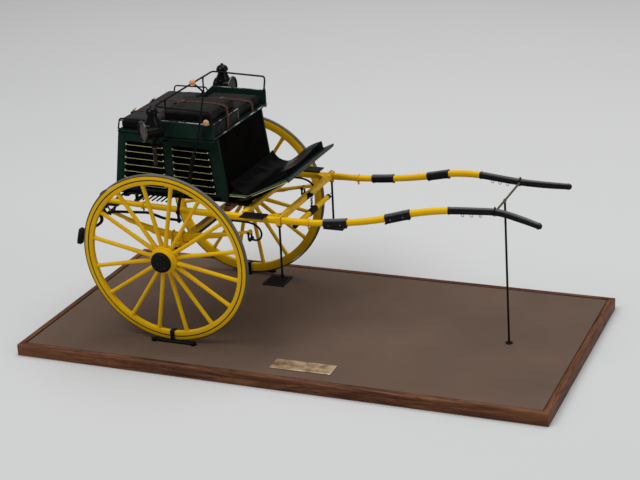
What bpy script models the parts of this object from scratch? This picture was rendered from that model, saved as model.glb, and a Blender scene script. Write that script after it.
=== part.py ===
# Model tandem cart on its display plinth, at one eighth of full size.
# Lengths are in metres. The cart's own frame has its origin on top of the plinth,
# under the middle of the axle: +X forwards along the shafts, +Y to the left, +Z up.
# "near" is the right-hand side of the cart (y below 0), "far" is the left-hand side.
import math
import bpy
import bmesh
from mathutils import Matrix, Vector

for stale in list(bpy.data.objects):
    bpy.data.objects.remove(stale, do_unlink=True)

MM = 0.001
NEAR = -1
FAR = 1
SIDES = ((NEAR, "near"), (FAR, "far"))

# Clearance between pieces that touch on the real model
GAP = 0.3 * MM

# Plinth: a board inside a mitred moulding
PLINTH_LENGTH = 546.0 * MM
PLINTH_WIDTH = 275.0 * MM
PLINTH_THICK = 12.0 * MM
MOULDING_WIDTH = 6.4 * MM
MOULDING_PROUD = 0.5 * MM
MOULDING_ROUND = 1.6 * MM
PLAQUE_LENGTH = 62.4 * MM
PLAQUE_WIDTH = 20.0 * MM
PLAQUE_THICK = 0.9 * MM
PLAQUE_TURN = math.radians(0.8)

# Wheels: 56 inch wheels at one eighth
WHEEL_RADIUS = 88.9 * MM
WHEEL_TRACK = 198.6 * MM
WHEEL_CLEARANCE = 0.3 * MM
CAMBER = math.radians(3.35)
# Heights in the cart's own frame count from AXLE_UP under the axle, where the plinth's top comes
AXLE_UP = 89.2 * MM
PLINTH_TOP = AXLE_UP - WHEEL_RADIUS - WHEEL_CLEARANCE
# The cart's origin, seen from the middle of the plinth's underside
CART_ORIGIN = Vector((-123.1 * MM, 10.6 * MM, PLINTH_THICK - PLINTH_TOP))
PLAQUE_AT = Vector((148.8 * MM, -117.5 * MM, PLINTH_TOP + GAP))
WHEEL_STEPS = 44
TYRE_THICK = 1.5 * MM
TYRE_WIDTH = 4.6 * MM
FELLOE_DEPTH = 8.6 * MM
FELLOE_WIDTH = 5.0 * MM
FELLOE_CHAMFER = 0.8 * MM
SPOKES = 16
SPOKE_ROOT_RADIUS = 2.3 * MM
SPOKE_WAIST_RADIUS = 1.9 * MM
SPOKE_STAGGER = 1.1 * MM
NAVE_RADIUS = 14.1 * MM
NAVE_INNER = 10.0 * MM
NAVE_FACE = 8.2 * MM
NAVE_STEPS = 20
CAP_RADIUS = 10.7 * MM
CAP_DEPTH = 4.4 * MM
AXLE_RADIUS = 2.5 * MM
AXLE_RUN = 0.4 * MM
AXLE_COLLAR = 4.2 * MM

# Springs and axle bed
SPRING_Y = 68.1 * MM
SPRING_HALF_WIDTH = 2.8 * MM
SPRING_REAR = 72.6 * MM
SPRING_FRONT = 77.0 * MM
SPRING_TOP = 105.2 * MM
SPRING_RISE_REAR = 16.3 * MM
SPRING_RISE_FRONT = 8.6 * MM
SPRING_POWER = 1.6
LEAVES = 5
LEAF_THICK = 1.5 * MM
LEAF_STEP = 0.19
EYE_RADIUS = 2.2 * MM
PIN_RADIUS = 0.8 * MM
BED_HALF_LENGTH = 76.0 * MM
BED_HALF_DEPTH = 3.2 * MM
CLIP_INNER = 4.2 * MM
CLIP_OUTER = 7.0 * MM

# Shafts: stations of (forward, outward, up, half width, half height) in millimetres
SHAFT_REAR = -80.3
SHAFT_STATIONS = (
    (SHAFT_REAR, 68.1, 132.9, 2.9, 2.15),
    (0.0, 68.1, 129.8, 3.1, 2.7),
    (77.0, 68.1, 128.4, 3.2, 3.3),
    (112.0, 68.1, 128.5, 3.2, 3.2),
    (150.0, 68.0, 129.2, 3.1, 3.1),
    (190.0, 66.4, 133.4, 3.0, 3.15),
    (220.0, 63.4, 138.9, 3.0, 3.2),
    (245.0, 59.6, 144.9, 3.0, 3.3),
    (272.0, 54.0, 147.8, 2.9, 3.2),
    (300.0, 47.6, 147.6, 2.9, 3.1),
    (322.0, 44.2, 146.9, 2.8, 3.0),
    (345.0, 49.8, 144.3, 2.7, 2.9),
    (366.0, 57.6, 141.7, 2.3, 2.5),
)
SHAFT_SIDES = 8
SLEEVE_WALL = 0.8 * MM
SLEEVE_REAR = (156.5 * MM, 180.5 * MM)
SLEEVE_MID = (217.5 * MM, 241.5 * MM)
SLEEVE_TIP = (275.0 * MM, 366.0 * MM)
SHAFT_TENON = 300.0 * MM
TENON_SHRINK = 1.0 * MM
SPLINTER_X = 111.0 * MM
COLLAR_HALF = 2.3 * MM
COLLAR_WALL = 1.3 * MM
STAND_X = 318.4 * MM
STAND_FOOT = Vector((321.7 * MM, -10.5 * MM, PLINTH_TOP + GAP))
ROD_RADIUS = 1.1 * MM

# Body
BODY_HALF = 54.3 * MM
PANEL = 3.0 * MM
BODY_TOP = 201.3 * MM
BODY_BOTTOM = 137.3 * MM
REAR_TOP_X = -63.7 * MM
REAR_BOTTOM_X = -72.5 * MM
FRONT_TOP_X = 43.4 * MM
FRONT_BOTTOM_X = 52.2 * MM
LOUVRES = 7
LOUVRE_PITCH = 6.88 * MM
LOUVRE_HEIGHT = 4.3 * MM
LOUVRE_OUT = 1.7 * MM
LOUVRE_FIRST_Z = 186.9 * MM
LOUVRE_SLOPE = -0.033
LOUVRE_REAR_MARGIN = 6.7 * MM
LOUVRE_FRONT_MARGIN = 13.5 * MM
LOUVRE_POST = (-16.6 * MM, -7.0 * MM)
DECK_BOTTOM = BODY_TOP + GAP
DECK_THICK = 1.6 * MM
DECK_TOP = DECK_BOTTOM + DECK_THICK
DECK_FRONT = 44.5 * MM
DECK_REAR = -66.0 * MM
DECK_HALF = 56.0 * MM
WING_OUT = 64.3 * MM
WING_THICK = 2.3 * MM
WING_REAR = -27.5 * MM
WING_TOP = 217.6 * MM
SEAT_Z = DECK_TOP + GAP

# Moving parts
LAMP_AT = Vector((-11.4 * MM, 80.3 * MM, 214.5 * MM))
LAMP_TURN = {NEAR: math.radians(-130.0), FAR: 0.0}
LAMP_STEM_RADIUS = 2.3 * MM
SOCKET_TOP = 15.2 * MM
SOCKET_LENGTH = 9.3 * MM
LEVER_PIVOT = Vector((5.9 * MM, -76.3 * MM, 130.0 * MM))
LEVER_THICK = 1.6 * MM
BEAM_AT = Vector((-77.2 * MM, 0.0, 127.6 * MM))
BEAM_RADIUS = 1.2 * MM
BEAM_PIN = Vector((-76.8 * MM, -75.5 * MM, 120.6 * MM))
LEVER_PIN = Vector((6.7 * MM, -75.5 * MM, 121.2 * MM))
LINK_PIN_RADIUS = 0.7 * MM
LINK_INNER = 74.0 * MM
LINK_OUTER = 75.2 * MM
SHOE_GAP = 0.35 * MM
BRAKE_TURN = math.radians(5.0)
SHOE_THICK = 4.2 * MM
CRANK_AT = Vector((34.3 * MM, -WING_OUT - GAP, 207.2 * MM))
CRANK_KNOB = Vector((40.5 * MM, -66.9 * MM, 221.6 * MM))
KNOB_RADIUS = 3.0 * MM
SWINGLE_X = 116.4 * MM
SWINGLE_Z = 114.7 * MM
SWINGLE_HALF = 45.7 * MM
SWINGLE_RADIUS = 2.8 * MM
HANGER_Z = 131.4 * MM

# Finishes: colour, metallic, roughness
YELLOW = ((0.62, 0.36, 0.01), 0.0, 0.35)
GREEN = ((0.006, 0.025, 0.02), 0.0, 0.3)
IRON = ((0.012, 0.012, 0.013), 0.3, 0.4)
LEATHER = ((0.015, 0.014, 0.014), 0.0, 0.5)
STRAP = ((0.16, 0.05, 0.03), 0.0, 0.5)
RUBBER = ((0.13, 0.12, 0.11), 0.0, 0.8)
BOARD = ((0.11, 0.08, 0.06), 0.0, 0.9)
WOOD = ((0.07, 0.025, 0.012), 0.0, 0.6)
BRASS = ((0.5, 0.34, 0.16), 0.8, 0.4)
GLASS = ((0.5, 0.48, 0.44), 0.6, 0.2)

materials = {}


def material(finish):
    if finish not in materials:
        mat = bpy.data.materials.new("finish_%d" % len(materials))
        mat.use_nodes = True
        shader = mat.node_tree.nodes["Principled BSDF"]
        colour, metallic, roughness = finish
        shader.inputs["Base Color"].default_value = (*colour, 1.0)
        shader.inputs["Metallic"].default_value = metallic
        shader.inputs["Roughness"].default_value = roughness
        mat.diffuse_color = (*colour, 1.0)
        materials[finish] = mat
    return materials[finish]


def closed(bm):
    bmesh.ops.recalc_face_normals(bm, faces=bm.faces)
    return bm


# A straight solid: an outline in the plane across the given axis, run from lo to hi
def prism(outline, lo, hi, axis=1):
    bm = bmesh.new()
    rings = []
    for along in (lo, hi):
        ring = []
        for a, b in outline:
            point = [a, b]
            point.insert(axis, along)
            ring.append(bm.verts.new(point))
        bm.faces.new(ring)
        rings.append(ring)
    count = len(outline)
    for i in range(count):
        j = (i + 1) % count
        bm.faces.new((rings[0][i], rings[0][j], rings[1][j], rings[1][i]))
    return closed(bm)


def box(x0, x1, y0, y1, z0, z1):
    return prism(((x0, z0), (x1, z0), (x1, z1), (x0, z1)), y0, y1)


# A box on side s, whose y limits are given as distances from the middle plane
def side_box(s, x0, x1, y0, y1, z0, z1):
    return box(x0, x1, s * y0, s * y1, z0, z1)


def skin(bm, rings, cap_start=True, cap_end=True):
    count = len(rings[0])
    for low, high in zip(rings[:-1], rings[1:]):
        for i in range(count):
            j = (i + 1) % count
            bm.faces.new((low[i], low[j], high[j], high[i]))
    if cap_start:
        bm.faces.new(rings[0])
    if cap_end:
        bm.faces.new(rings[-1])


# A turned solid about the local Z axis, from a profile of (radius, height); ends with
# radius 0 are poles, and a profile without poles is closed on itself
def turned(profile, steps):
    bm = bmesh.new()
    rings = []
    for radius, height in profile:
        if radius == 0.0:
            rings.append([bm.verts.new((0.0, 0.0, height))])
            continue
        ring = []
        for i in range(steps):
            angle = 2.0 * math.pi * (i + 0.5) / steps
            ring.append(bm.verts.new((radius * math.cos(angle), radius * math.sin(angle), height)))
        rings.append(ring)
    pairs = list(zip(rings[:-1], rings[1:]))
    if len(rings[0]) > 1:
        pairs.append((rings[-1], rings[0]))
    for low, high in pairs:
        for i in range(steps):
            j = (i + 1) % steps
            if len(low) == 1:
                bm.faces.new((low[0], high[j], high[i]))
            elif len(high) == 1:
                bm.faces.new((low[i], low[j], high[0]))
            else:
                bm.faces.new((low[i], low[j], high[j], high[i]))
    return closed(bm)


AXIS_TURN = {
    "x": Matrix.Rotation(math.radians(90.0), 4, "Y"),
    "y": Matrix.Rotation(math.radians(-90.0), 4, "X"),
    "z": Matrix.Identity(4),
}


# A turned solid moved so that its axis runs along x, y or z through a point
def turned_at(profile, steps, axis, at):
    bm = turned(profile, steps)
    bmesh.ops.transform(bm, matrix=Matrix.Translation(Vector(at)) @ AXIS_TURN[axis], verts=bm.verts)
    return bm


def rod(radius, lo, hi, axis, at, steps=8):
    profile = ((0.0, lo), (radius, lo), (radius, hi), (0.0, hi))
    return turned_at(profile, steps, axis, at)


# Frames along a path, carried without twist
def frames(path, up):
    result = []
    side = None
    for i, point in enumerate(path):
        before = path[max(i - 1, 0)]
        after = path[min(i + 1, len(path) - 1)]
        tangent = (after - before).normalized()
        if side is None:
            side = tangent.cross(Vector(up)).normalized()
        side = (side - tangent * side.dot(tangent)).normalized()
        result.append((point, side, side.cross(tangent).normalized()))
    return result


# Points round a section with the given half width and half height; power 2 is an
# ellipse and higher powers are nearer a rounded rectangle
def section(frame, half_width, half_height, sides, power=2.0):
    point, side, up = frame
    ring = []
    for i in range(sides):
        angle = 2.0 * math.pi * (i + 0.5) / sides
        c = math.cos(angle)
        s = math.sin(angle)
        a = math.copysign(abs(c) ** (2.0 / power), c) * half_width
        b = math.copysign(abs(s) ** (2.0 / power), s) * half_height
        ring.append(point + side * a + up * b)
    return ring


def sweep(path, half_width, half_height, sides=8, power=2.0, up=(0.0, 0.0, 1.0)):
    path = [Vector(p) for p in path]
    bm = bmesh.new()
    rings = []
    for i, frame in enumerate(frames(path, up)):
        w = half_width[i] if isinstance(half_width, (list, tuple)) else half_width
        h = half_height[i] if isinstance(half_height, (list, tuple)) else half_height
        rings.append([bm.verts.new(p) for p in section(frame, w, h, sides, power)])
    skin(bm, rings)
    return closed(bm)


# A path with its corners rounded
def rounded(points, radius, steps=3):
    points = [Vector(p) for p in points]
    path = [points[0]]
    for before, corner, after in zip(points[:-2], points[1:-1], points[2:]):
        reach = min(radius, 0.45 * (corner - before).length, 0.45 * (after - corner).length)
        start = corner + (before - corner).normalized() * reach
        end = corner + (after - corner).normalized() * reach
        for i in range(steps + 1):
            t = i / steps
            path.append(start * (1 - t) ** 2 + corner * 2 * t * (1 - t) + end * t ** 2)
    path.append(points[-1])
    return path


def scaled(points):
    return [tuple(c * MM for c in p) for p in points]


def temp_object(bm):
    mesh = bpy.data.meshes.new("temp")
    bm.to_mesh(mesh)
    bm.free()
    obj = bpy.data.objects.new("temp", mesh)
    bpy.context.collection.objects.link(obj)
    return obj


# Joins or cuts solids with exact Booleans and gives back one solid
def combine(base, others, operation):
    target = temp_object(base)
    tools = []
    for bm in others:
        tool = temp_object(bm)
        modifier = target.modifiers.new("step", "BOOLEAN")
        modifier.operation = operation
        modifier.solver = "EXACT"
        modifier.object = tool
        tools.append(tool)
    graph = bpy.context.evaluated_depsgraph_get()
    mesh = bpy.data.meshes.new_from_object(target.evaluated_get(graph))
    result = bmesh.new()
    result.from_mesh(mesh)
    for obj in [target] + tools:
        old = obj.data
        bpy.data.objects.remove(obj, do_unlink=True)
        bpy.data.meshes.remove(old)
    bpy.data.meshes.remove(mesh)
    bmesh.ops.remove_doubles(result, verts=result.verts, dist=0.00001 * MM)
    return result


def union(*solids):
    return combine(solids[0], solids[1:], "UNION")


def cut(base, *tools):
    return combine(base, tools, "DIFFERENCE")


def add_object(name, mesh, finish, location, rotation=None):
    obj = bpy.data.objects.new(name, mesh)
    obj.location = location
    if rotation is not None:
        obj.rotation_mode = "QUATERNION"
        obj.rotation_quaternion = rotation.to_quaternion()
    bpy.context.collection.objects.link(obj)
    if not mesh.materials:
        mesh.materials.append(material(finish))
    return obj


# Makes a node from a solid drawn in the cart's frame, with its origin at pivot
def node(name, bm, finish, pivot=(0.0, 0.0, 0.0), smooth=30.0):
    pivot = Vector(pivot)
    bmesh.ops.translate(bm, vec=-pivot, verts=bm.verts)
    mesh = bpy.data.meshes.new(name)
    bm.to_mesh(mesh)
    bm.free()
    mesh.shade_smooth()
    mesh.set_sharp_from_angle(angle=math.radians(smooth))
    return add_object(name, mesh, finish, CART_ORIGIN + pivot)


def bevel(bm, width, segments=1):
    edges = [e for e in bm.edges if len(e.link_faces) == 2 and e.calc_face_angle() > 0.6]
    bmesh.ops.bevel(bm, geom=edges, offset=width, segments=segments, affect="EDGES")
    return bm


# Plinth
def make_plinth():
    middle = Vector((0.0, 0.0, 0.0)) - CART_ORIGIN
    half_l = PLINTH_LENGTH / 2
    half_w = PLINTH_WIDTH / 2
    inner_l = half_l - MOULDING_WIDTH - GAP
    inner_w = half_w - MOULDING_WIDTH - GAP
    board = box(middle.x - inner_l, middle.x + inner_l, middle.y - inner_w, middle.y + inner_w,
                PLINTH_TOP - PLINTH_THICK, PLINTH_TOP)
    node("plinth_board", board, BOARD)
    # Moulding profile as (distance in from the outer face, height over the plinth's top)
    profile = (
        (0.0, -PLINTH_THICK),
        (MOULDING_WIDTH, -PLINTH_THICK),
        (MOULDING_WIDTH, MOULDING_PROUD * 0.4),
        (MOULDING_WIDTH - MOULDING_ROUND / 2, MOULDING_PROUD),
        (MOULDING_ROUND, MOULDING_PROUD),
        (MOULDING_ROUND * 0.3, MOULDING_PROUD - MOULDING_ROUND * 0.3),
        (0.0, MOULDING_PROUD - MOULDING_ROUND),
    )
    bm = bmesh.new()
    rings = []
    for sx, sy in ((-1, -1), (1, -1), (1, 1), (-1, 1)):
        ring = []
        for inset, z in profile:
            x = middle.x + sx * (half_l - inset)
            y = middle.y + sy * (half_w - inset)
            ring.append(bm.verts.new((x, y, PLINTH_TOP + z)))
        rings.append(ring)
    rings.append(rings[0])
    skin(bm, rings, cap_start=False, cap_end=False)
    node("plinth_molding", closed(bm), WOOD, smooth=50.0)
    half_l = PLAQUE_LENGTH / 2
    half_w = PLAQUE_WIDTH / 2
    plaque = box(-half_l, half_l, -half_w, half_w, 0.0, PLAQUE_THICK)
    turn = Matrix.Translation(PLAQUE_AT) @ Matrix.Rotation(PLAQUE_TURN, 4, "Z")
    bmesh.ops.transform(plaque, matrix=turn, verts=plaque.verts)
    node("name_plaque", plaque, BRASS, pivot=PLAQUE_AT)


# Straps that hold the wheels to the plinth between two spokes
def make_wheel_clips():
    foot_half = 24.0 * MM
    foot_under = PLINTH_TOP + GAP
    foot_top = PLINTH_TOP + 1.7 * MM
    strap_half = 2.1 * MM
    wall = 1.0 * MM
    rim = WHEEL_RADIUS - TYRE_THICK - FELLOE_DEPTH
    inner_top = AXLE_UP - rim * math.cos(CAMBER) + 2 * GAP
    middle_y = WHEEL_TRACK / 2 - (WHEEL_RADIUS - FELLOE_DEPTH / 2) * math.sin(CAMBER)
    lean = FELLOE_DEPTH / 2 * math.sin(CAMBER)
    inside = FELLOE_WIDTH / 2 + lean + 2 * GAP
    for s, side in SIDES:
        outer = inside + wall
        strap = union(
            side_box(s, -strap_half, strap_half, middle_y + inside, middle_y + outer,
                     foot_under, inner_top + wall),
            side_box(s, -strap_half, strap_half, middle_y - outer, middle_y - inside,
                     foot_under, inner_top + wall),
            side_box(s, -strap_half, strap_half, middle_y - outer, middle_y + outer,
                     inner_top, inner_top + wall),
            side_box(s, -foot_half, foot_half, middle_y + inside + wall / 2,
                     middle_y + inside + 4.2 * MM, foot_under, foot_top),
            side_box(s, -strap_half * 2, strap_half * 2, middle_y - inside - 5.0 * MM,
                     middle_y - inside - wall / 2, foot_under, foot_top),
        )
        node("wheel_clip_" + side, strap, IRON)


# Wheels, drawn about the local Z axis, which points outwards from the cart
def wheel_frame(s):
    out = Vector((0.0, s * math.cos(CAMBER), -math.sin(CAMBER)))
    across = Vector((1.0, 0.0, 0.0))
    up = out.cross(across)
    turn = Matrix((across, up, out)).transposed()
    return Vector((0.0, s * WHEEL_TRACK / 2, AXLE_UP)), turn


def make_wheels():
    felloe_out = WHEEL_RADIUS - TYRE_THICK - GAP
    felloe_in = felloe_out - FELLOE_DEPTH
    half = FELLOE_WIDTH / 2
    bore = AXLE_RADIUS + AXLE_RUN
    bore_end = NAVE_FACE - 1.2 * MM
    nave = turned((
        (0.0, bore_end), (bore, bore_end), (bore, -NAVE_INNER),
        (NAVE_RADIUS * 0.5, -NAVE_INNER), (NAVE_RADIUS * 0.64, -NAVE_INNER * 0.7),
        (NAVE_RADIUS * 0.87, -4.2 * MM), (NAVE_RADIUS, -3.4 * MM), (NAVE_RADIUS, 4.2 * MM),
        (NAVE_RADIUS * 0.86, 4.4 * MM), (NAVE_RADIUS * 0.86, 6.2 * MM),
        (NAVE_RADIUS * 0.775, 6.4 * MM), (NAVE_RADIUS * 0.775, NAVE_FACE), (0.0, NAVE_FACE),
    ), NAVE_STEPS)
    felloe = turned((
        (felloe_in, half - FELLOE_CHAMFER), (felloe_in, FELLOE_CHAMFER - half),
        (felloe_in + FELLOE_CHAMFER, -half), (felloe_out, -half),
        (felloe_out, half), (felloe_in + FELLOE_CHAMFER, half),
    ), WHEEL_STEPS)
    pieces = [nave, felloe]
    root = NAVE_RADIUS * 0.8
    tip = felloe_in + FELLOE_CHAMFER * 1.5
    for i in range(SPOKES):
        angle = 2.0 * math.pi * (i + 0.5) / SPOKES
        out = Vector((math.cos(angle), math.sin(angle), 0.0))
        stagger = Vector((0.0, 0.0, SPOKE_STAGGER * (1 if i % 2 else -1)))
        path = []
        for share in (0.0, 0.6, 1.0):
            path.append(out * (root + (tip - root) * share) + stagger * (1.0 - share))
        radii = [SPOKE_ROOT_RADIUS, SPOKE_WAIST_RADIUS, SPOKE_ROOT_RADIUS * 0.9]
        pieces.append(sweep(path, radii, radii, sides=6))
    wheel = union(*pieces)
    tyre_in = WHEEL_RADIUS - TYRE_THICK
    half = TYRE_WIDTH / 2
    tyre = turned((
        (tyre_in, half), (tyre_in, -half), (WHEEL_RADIUS - TYRE_THICK * 0.45, -half),
        (WHEEL_RADIUS, -half * 0.55), (WHEEL_RADIUS, half * 0.55),
        (WHEEL_RADIUS - TYRE_THICK * 0.45, half),
    ), WHEEL_STEPS)
    face = NAVE_FACE + GAP
    cap = turned((
        (0.0, face), (CAP_RADIUS, face), (CAP_RADIUS, face + CAP_DEPTH * 0.4),
        (CAP_RADIUS * 0.9, face + CAP_DEPTH * 0.78), (CAP_RADIUS * 0.55, face + CAP_DEPTH * 0.97),
        (0.0, face + CAP_DEPTH),
    ), 24)
    shapes = (("wheel", wheel, YELLOW), ("tyre", tyre, RUBBER), ("hub_cap", cap, IRON))
    for name, bm, finish in shapes:
        mesh = bpy.data.meshes.new(name)
        bm.to_mesh(mesh)
        bm.free()
        mesh.shade_smooth()
        mesh.set_sharp_from_angle(angle=math.radians(32.0))
        for s, side in SIDES:
            centre, turn = wheel_frame(s)
            add_object(name + "_" + side, mesh, finish, CART_ORIGIN + centre, turn)


def make_axle():
    arm_out = NAVE_FACE - 1.8 * MM
    arm_in = NAVE_INNER + 3.0 * MM
    path = []
    collars = []
    for s in (FAR, NEAR):
        centre, turn = wheel_frame(s)
        out = turn @ Vector((0.0, 0.0, 1.0))
        ends = [centre + out * arm_out, centre - out * arm_in]
        path += ends if s == FAR else ends[::-1]
        ring = turned(((0.0, 0.0), (AXLE_COLLAR, 0.0), (AXLE_COLLAR, -1.6 * MM), (0.0, -1.6 * MM)), 12)
        place = Matrix.Translation(centre - out * (NAVE_INNER + 0.4 * MM)) @ turn.to_4x4()
        bmesh.ops.transform(ring, matrix=place, verts=ring.verts)
        collars.append(ring)
    axle = sweep(path, AXLE_RADIUS, AXLE_RADIUS, sides=10, up=(1.0, 0.0, 0.0))
    node("axle", union(axle, *collars), IRON)
    centre, turn = wheel_frame(NEAR)
    axle_top = centre.z + arm_in * math.sin(CAMBER) + AXLE_RADIUS
    bed_bottom = axle_top + GAP
    pack_bottom = SPRING_TOP - LEAVES * LEAF_THICK
    seat_top = pack_bottom - GAP
    bed = box(-BED_HALF_DEPTH, BED_HALF_DEPTH, -BED_HALF_LENGTH, BED_HALF_LENGTH,
              bed_bottom, seat_top - 0.8 * MM)
    pieces = [bed]
    reach = SPRING_HALF_WIDTH + GAP
    wall = 1.0 * MM
    rise = SPRING_RISE_REAR * (CLIP_OUTER / SPRING_REAR) ** SPRING_POWER
    hole_top = SPRING_TOP + rise + GAP
    for s, side in SIDES:
        low = SPRING_Y - reach - wall
        high = SPRING_Y + reach + wall
        pieces.append(side_box(s, -CLIP_OUTER, CLIP_OUTER, low, high, bed_bottom, seat_top))
        for x0, x1 in ((-CLIP_OUTER, -CLIP_INNER), (CLIP_INNER, CLIP_OUTER)):
            top = hole_top + wall
            pieces.append(side_box(s, x0, x1, low, low + wall, bed_bottom, top))
            pieces.append(side_box(s, x0, x1, high - wall, high, bed_bottom, top))
            pieces.append(side_box(s, x0, x1, low, high, hole_top, top))
    node("axle_bed", union(*pieces), YELLOW)


def spring_top(x):
    if x < 0:
        return SPRING_TOP + SPRING_RISE_REAR * (-x / SPRING_REAR) ** SPRING_POWER
    return SPRING_TOP + SPRING_RISE_FRONT * (x / SPRING_FRONT) ** SPRING_POWER


EYE_OFFSET = 1.2 * MM
EYE_REAR = Vector((-SPRING_REAR - EYE_OFFSET, 0.0, spring_top(-SPRING_REAR) - LEAF_THICK / 2))
EYE_FRONT = Vector((SPRING_FRONT + EYE_OFFSET, 0.0, spring_top(SPRING_FRONT) - LEAF_THICK / 2))


# Leaf springs: a full main leaf over shorter and shorter ones, with an eye at each end
def make_springs():
    ends = [1.0 - LEAF_STEP * k for k in range(LEAVES)]
    shares = sorted(set(ends + [0.0]))
    xs = [-SPRING_REAR * f for f in reversed(shares)] + [SPRING_FRONT * f for f in shares[1:]]
    top = [(x, spring_top(x)) for x in xs]
    bottom = []
    for (x0, z0), (x1, z1) in zip(top[:-1], top[1:]):
        middle = (x0 + x1) / 2
        length = SPRING_REAR if middle < 0 else SPRING_FRONT
        drop = LEAF_THICK * sum(1 for e in ends if e * length > abs(middle))
        for x, z in ((x0, z0 - drop), (x1, z1 - drop)):
            if not bottom or (Vector((x, z)) - Vector(bottom[-1])).length > 0.01 * MM:
                bottom.append((x, z))
    outline = top + bottom[::-1]
    for s, side in SIDES:
        lo = s * SPRING_Y - SPRING_HALF_WIDTH
        hi = s * SPRING_Y + SPRING_HALF_WIDTH
        leaf = prism(outline, lo, hi)
        eyes = [rod(EYE_RADIUS, lo, hi, "y", eye, 12) for eye in (EYE_REAR, EYE_FRONT)]
        bores = [rod(PIN_RADIUS + GAP, lo - MM, hi + MM, "y", eye, 10) for eye in (EYE_REAR, EYE_FRONT)]
        node("spring_" + side, cut(union(leaf, *eyes), *bores), YELLOW)


# Irons that hang the springs from the shafts
def make_spring_irons():
    inner = SPRING_HALF_WIDTH + GAP
    wall = 1.2 * MM
    under = 129.6 * MM
    for s, side in SIDES:
        faces = [(SPRING_Y + inner, SPRING_Y + inner + wall), (SPRING_Y - inner - wall, SPRING_Y - inner)]
        plate = scaled(((-80.0, 129.6), (-63.0, 129.6), (-63.0, 128.5), (-70.5, 128.5), (-71.6, 119.8),
                        (-73.0, 118.2), (-75.0, 118.4), (-76.0, 124.4), (-79.0, 125.1), (-80.0, 127.4)))
        pieces = [side_box(s, -84.6 * MM, -63.0 * MM, faces[1][0], faces[0][1], under - 1.1 * MM, under)]
        for lo, hi in faces:
            pieces.append(prism(plate, s * lo, s * hi))
        pieces.append(rod(PIN_RADIUS, -inner - wall, inner + wall, "y",
                          (EYE_REAR.x, s * SPRING_Y, EYE_REAR.z)))
        tail = scaled(((-84.6, 128.5), (-80.7, 128.5), (-80.7, 136.0), (-77.2, 138.0), (-76.6, 141.0),
                       (-79.4, 142.9), (-83.0, 142.2), (-85.2, 138.5)))
        pieces.append(prism(tail, s * (SPRING_Y - inner), s * (SPRING_Y + inner)))
        iron = union(*pieces)
        bearing = rod(BEAM_RADIUS + GAP, -inner - 3 * wall, inner + 3 * wall, "y",
                      (BEAM_AT.x, s * SPRING_Y, BEAM_AT.z), 16)
        node("spring_hanger_" + side, cut(iron, bearing), IRON)

    plate_half = 7.5 * MM
    plate_y = 73.0 * MM
    plate_z = 132.0 * MM
    loop = scaled(((60.0, 123.6), (77.0, 123.6), (84.0, 121.9), (89.6, 117.8), (91.4, 112.4),
                   (89.6, 107.4), (85.4, 105.2), (80.2, 105.8)))
    bulb = Vector((79.5 * MM, 0.0, 106.3 * MM))
    bulb_radius = 2.4 * MM
    for s, side in SIDES:
        y = s * SPRING_Y
        path = rounded([(x, y, z) for x, z in loop], 3.0 * MM, 2)
        outer = SPRING_Y + inner + 1.0 * MM
        strap_y = 71.7 * MM
        pieces = [
            sweep(path, ROD_RADIUS, ROD_RADIUS, sides=6, up=(0.0, 1.0, 0.0)),
            side_box(s, 73.5 * MM, 98.5 * MM, plate_y - plate_half, plate_y + plate_half,
                     plate_z, plate_z + 1.2 * MM),
            side_box(s, 74.0 * MM, 79.0 * MM, strap_y, strap_y + 1.2 * MM,
                     122.6 * MM, plate_z + 0.4 * MM),
            side_box(s, 74.0 * MM, 79.0 * MM, SPRING_Y - 0.6 * MM, strap_y + 1.2 * MM,
                     122.6 * MM, 124.6 * MM),
            rod(bulb_radius, s * (SPRING_Y - inner - MM), s * outer, "y", bulb, 16),
            rod(PIN_RADIUS, s * (SPRING_Y - inner - MM), s * outer, "y", EYE_FRONT),
        ]
        for lo, hi in ((SPRING_Y + inner, outer), (SPRING_Y - inner - MM, SPRING_Y - inner)):
            pieces.append(side_box(s, 76.8 * MM, 80.0 * MM, lo, hi, bulb.z, EYE_FRONT.z + 1.5 * MM))
        node("tread_iron_" + side, union(*pieces), IRON)


# Smooth reading of the shaft's stations at one distance forward
def shaft_at(x):
    table = SHAFT_STATIONS
    x = min(max(x / MM, table[0][0]), table[-1][0])
    i = 0
    while i < len(table) - 2 and x > table[i + 1][0]:
        i += 1
    span = table[i + 1][0] - table[i][0]
    t = (x - table[i][0]) / span
    values = []
    for k in range(1, 5):
        p0 = table[i][k]
        p1 = table[i + 1][k]
        before = table[max(i - 1, 0)]
        after = table[min(i + 2, len(table) - 1)]
        m0 = (p1 - before[k]) / (table[i + 1][0] - before[0]) * span
        m1 = (after[k] - p0) / (after[0] - table[i][0]) * span
        value = ((2 * t ** 3 - 3 * t ** 2 + 1) * p0 + (t ** 3 - 2 * t ** 2 + t) * m0
                 + (3 * t ** 2 - 2 * t ** 3) * p1 + (t ** 3 - t ** 2) * m1)
        values.append(value * MM)
    return values


def shaft_power(x):
    return 3.6 if x < 120.0 * MM else 2.4


def shaft_rings(s, xs, grow):
    path = [Vector((x, s * shaft_at(x)[0], shaft_at(x)[1])) for x in xs]
    rings = []
    for x, frame, extra in zip(xs, frames(path, (0.0, 0.0, 1.0)), grow):
        out, z, w, h = shaft_at(x)
        rings.append(section(frame, w + extra, h + extra, SHAFT_SIDES, shaft_power(x)))
    return rings


def spread(x0, x1, step):
    count = max(1, round((x1 - x0) / step))
    return [x0 + (x1 - x0) * i / count for i in range(count + 1)]


def shell_solid(outer, inner, blind):
    bm = bmesh.new()
    rings = [[bm.verts.new(p) for p in ring] for ring in inner[::-1] + outer]
    if blind:
        skin(bm, rings)
    else:
        skin(bm, rings + [rings[0]], cap_start=False, cap_end=False)
    return closed(bm)


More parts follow.
